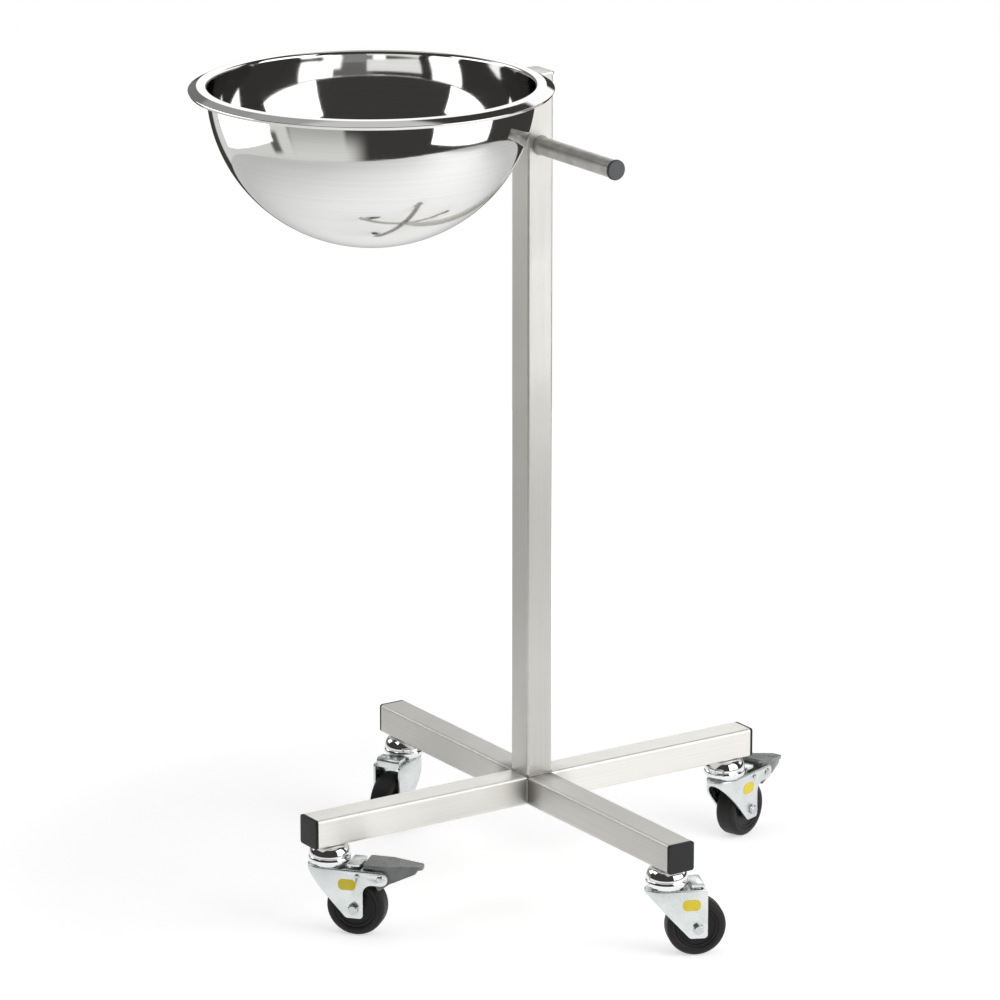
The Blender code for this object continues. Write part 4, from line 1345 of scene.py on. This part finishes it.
@dataclass
class Studio:
    """Floor, room light, panels and camera."""

    azimuth: float = -33.29
    elevation: float = 16.17
    distance: float = 6.209
    focal_px: float = 5720.0
    image_px: float = 1000.0
    aim_right: float = -0.0339
    aim_up: float = 0.41674
    sensor: float = 36.0
    far: float = 100.0
    floor_radius: float = 1.60
    floor_back: float = 0.35
    floor_steps: int = 96
    floor_tone: Colour = (0.80, 0.80, 0.80)
    floor_glow: tuple[float, float] = (0.56, 0.95)
    floor_fade: tuple[float, float] = (0.45, 1.05)
    floor_in_metal: tuple[float, float] = (0.56, 0.28)
    metal_fade: tuple[float, float] = (0.45, 1.45)
    room_tone: Colour = (0.050, 0.047, 0.044)
    ceiling_tone: Colour = (0.68, 0.68, 0.67)
    ceiling_from: float = 62.0
    fill: float = 0.38
    behind: Patch = Patch(-150.0, 30.0, (-2.0, 24.0), (0.20, 0.20, 0.195))
    over: Patch = Patch(-167.0, 27.0, (32.0, 64.0), (0.42, 0.42, 0.41))
    aloft: Patch = Patch(-138.0, 34.0, (24.0, 46.0), (0.36, 0.36, 0.36))
    wing: Patch = Patch(-121.0, 14.0, (15.0, 38.0), (1.9, 1.9, 1.87), 3.0)
    high: Patch = Patch(169.0, 9.0, (28.0, 44.0), (2.4, 2.4, 2.4))
    backdrop: Patch = Patch(148.5, 39.0, (9.6, 30.0), (1.22, 1.22, 1.22), 1.5)
    left: Patch = Patch(-106.0, 45.0, (-80.0, -8.0), (0.76, 0.76, 0.745))
    side: Patch = Patch(-39.0, 21.0, (-80.0, -8.0), (0.48, 0.48, 0.465))
    side_low: Patch = Patch(-39.0, 28.0, (-76.0, -27.0), (0.78, 0.78, 0.76), 11.0)
    side_bar: Patch = Patch(-75.5, 3.5, (-34.0, -21.0), (0.12, 0.12, 0.115))
    panels: tuple[Softbox, ...] = (
        Softbox("right_panel", (0.64, -1.19), 30.5, 1.30, 0.11, 1.85, 2.0),
        Softbox("left_panel", (-0.62, 0.295), -131.3, 0.53, 0.715, 1.18, 2.2),
        Softbox("left_panel_low", (-0.62, 0.295), -131.3, 0.53, 0.64, 0.715, 1.1),
    )

    def camera(self) -> None:
        """Makes the camera at the photograph's viewing angle."""
        turn, rise = math.radians(self.azimuth), math.radians(self.elevation)
        right = Vector((math.cos(turn), math.sin(turn), 0.0))
        back = Vector((math.sin(turn) * math.cos(rise), -math.cos(turn) * math.cos(rise), math.sin(rise)))
        up = back.cross(right)
        data = bpy.data.cameras.new("camera")
        data.sensor_width = self.sensor
        data.lens = self.focal_px * self.sensor / self.image_px
        data.clip_end = self.far
        obj = link("camera", data)
        place = right * self.aim_right + up * self.aim_up + back * self.distance
        obj.matrix_world = Matrix.Translation(place) @ Matrix((right, up, back)).transposed().to_4x4()
        bpy.context.scene.camera = obj

    def floor(self) -> None:
        """Makes the pale floor, which stays white to the eye and in metal, and keeps the shadow."""
        work = Work()
        bmesh.ops.create_circle(work.bm, cap_ends=True, segments=self.floor_steps, radius=self.floor_radius)
        turn = math.radians(self.azimuth)
        work.move(Matrix.Translation((-math.sin(turn) * self.floor_back, math.cos(turn) * self.floor_back, 0.0)))
        mesh = work.mesh("floor")
        made = bpy.data.materials.new("pale_floor")
        made.use_nodes = True
        made.node_tree.nodes.clear()
        desk = Desk(made.node_tree)
        path = desk.add("ShaderNodeLightPath").outputs
        reach = desk.vector("LENGTH", desk.add("ShaderNodeTexCoord").outputs["Object"])
        eye = desk.math("MULTIPLY", path["Is Camera Ray"], desk.spread(reach, *self.floor_fade, *self.floor_glow))
        metal = desk.math("MULTIPLY", desk.math("MAXIMUM", path["Is Glossy Ray"], path["Is Transmission Ray"]),
                          desk.spread(reach, *self.metal_fade, *self.floor_in_metal))
        matt = desk.add("ShaderNodeBsdfDiffuse")
        matt.inputs["Color"].default_value = (*self.floor_tone, 1.0)
        glow = desk.add("ShaderNodeEmission")
        desk.feed(desk.math("ADD", eye, metal), glow.inputs["Strength"])
        both = desk.add("ShaderNodeAddShader")
        desk.feed(matt.outputs[0], both.inputs[0])
        desk.feed(glow.outputs[0], both.inputs[1])
        desk.feed(both.outputs[0], desk.add("ShaderNodeOutputMaterial").inputs["Surface"])
        mesh.materials.append(made)
        link("floor", mesh)

    @staticmethod
    def _above(desk: Desk, direction: object, edge: float, soft: float = SOFT_EDGE) -> bpy.types.NodeSocket:
        """A mask for the part of the room above an elevation, with an edge that blurs so many degrees each way."""
        return desk.spread(desk.part(direction, "Z"), math.sin(math.radians(edge - soft)),
                           math.sin(math.radians(edge + soft)), 0.0, 1.0)

    def _sector(self, desk: Desk, direction: object, patch: Patch) -> bpy.types.NodeSocket:
        """A mask for the part of the room between a patch's two azimuths.

        Args:
            desk: The world's desk.
            direction: The ray's direction.
            patch: The patch.

        Returns:
            The mask's value.
        """
        turn = math.radians(self.azimuth + patch.middle)
        ahead = desk.vector("NORMALIZE", desk.vector("MULTIPLY", direction, LEVEL))
        facing = desk.vector("DOT_PRODUCT", ahead, (math.sin(turn), -math.cos(turn), 0.0))
        return desk.spread(facing, math.cos(math.radians(patch.half + patch.soft)),
                           math.cos(math.radians(patch.half - patch.soft)), 0.0, 1.0)

    def room(self) -> None:
        """Makes the room: white to the eye, a dim studio with a white backdrop to metal, soft fill to the rest."""
        world = bpy.data.worlds.new("studio_room")
        world.use_nodes = True
        world.node_tree.nodes.clear()
        desk = Desk(world.node_tree)
        direction = desk.add("ShaderNodeTexCoord").outputs["Generated"]
        studio = self.room_tone
        for patch in (self.behind, self.over, self.aloft, self.wing, self.high, self.backdrop, self.left, self.side,
                      self.side_low, self.side_bar):
            low, high = (self._above(desk, direction, edge, patch.soft) for edge in patch.span)
            mask = desk.math("MULTIPLY", self._sector(desk, direction, patch), desk.math("SUBTRACT", low, high))
            studio = desk.blend(mask, studio, patch.tone)
        studio = desk.blend(self._above(desk, direction, self.ceiling_from), studio, self.ceiling_tone)
        path = desk.add("ShaderNodeLightPath").outputs
        metal = desk.math("MAXIMUM", path["Is Glossy Ray"], path["Is Transmission Ray"])
        light = desk.blend(metal, (self.fill, self.fill, self.fill), studio)
        shown = desk.blend(path["Is Camera Ray"], light, WHITE)
        sky = desk.add("ShaderNodeBackground")
        desk.feed(shown, sky.inputs["Color"])
        desk.feed(sky.outputs[0], desk.add("ShaderNodeOutputWorld").inputs["Surface"])
        bpy.context.scene.world = world

    def build(self) -> None:
        """Builds the studio."""
        bpy.context.scene.view_settings.view_transform = "Standard"
        self.camera()
        self.floor()
        self.room()
        for panel in self.panels:
            panel.build()


def main() -> None:
    """Builds the stand's pieces and the studio in order."""
    logging.basicConfig(level=logging.INFO, format="%(name)s: %(message)s")
    BaseAndPost().build()
    PushHandle().build()
    HungBasin().build()
    for corner in Corner:
        Castor(corner).build()
    Studio().build()


if __name__ == "__main__":
    main()
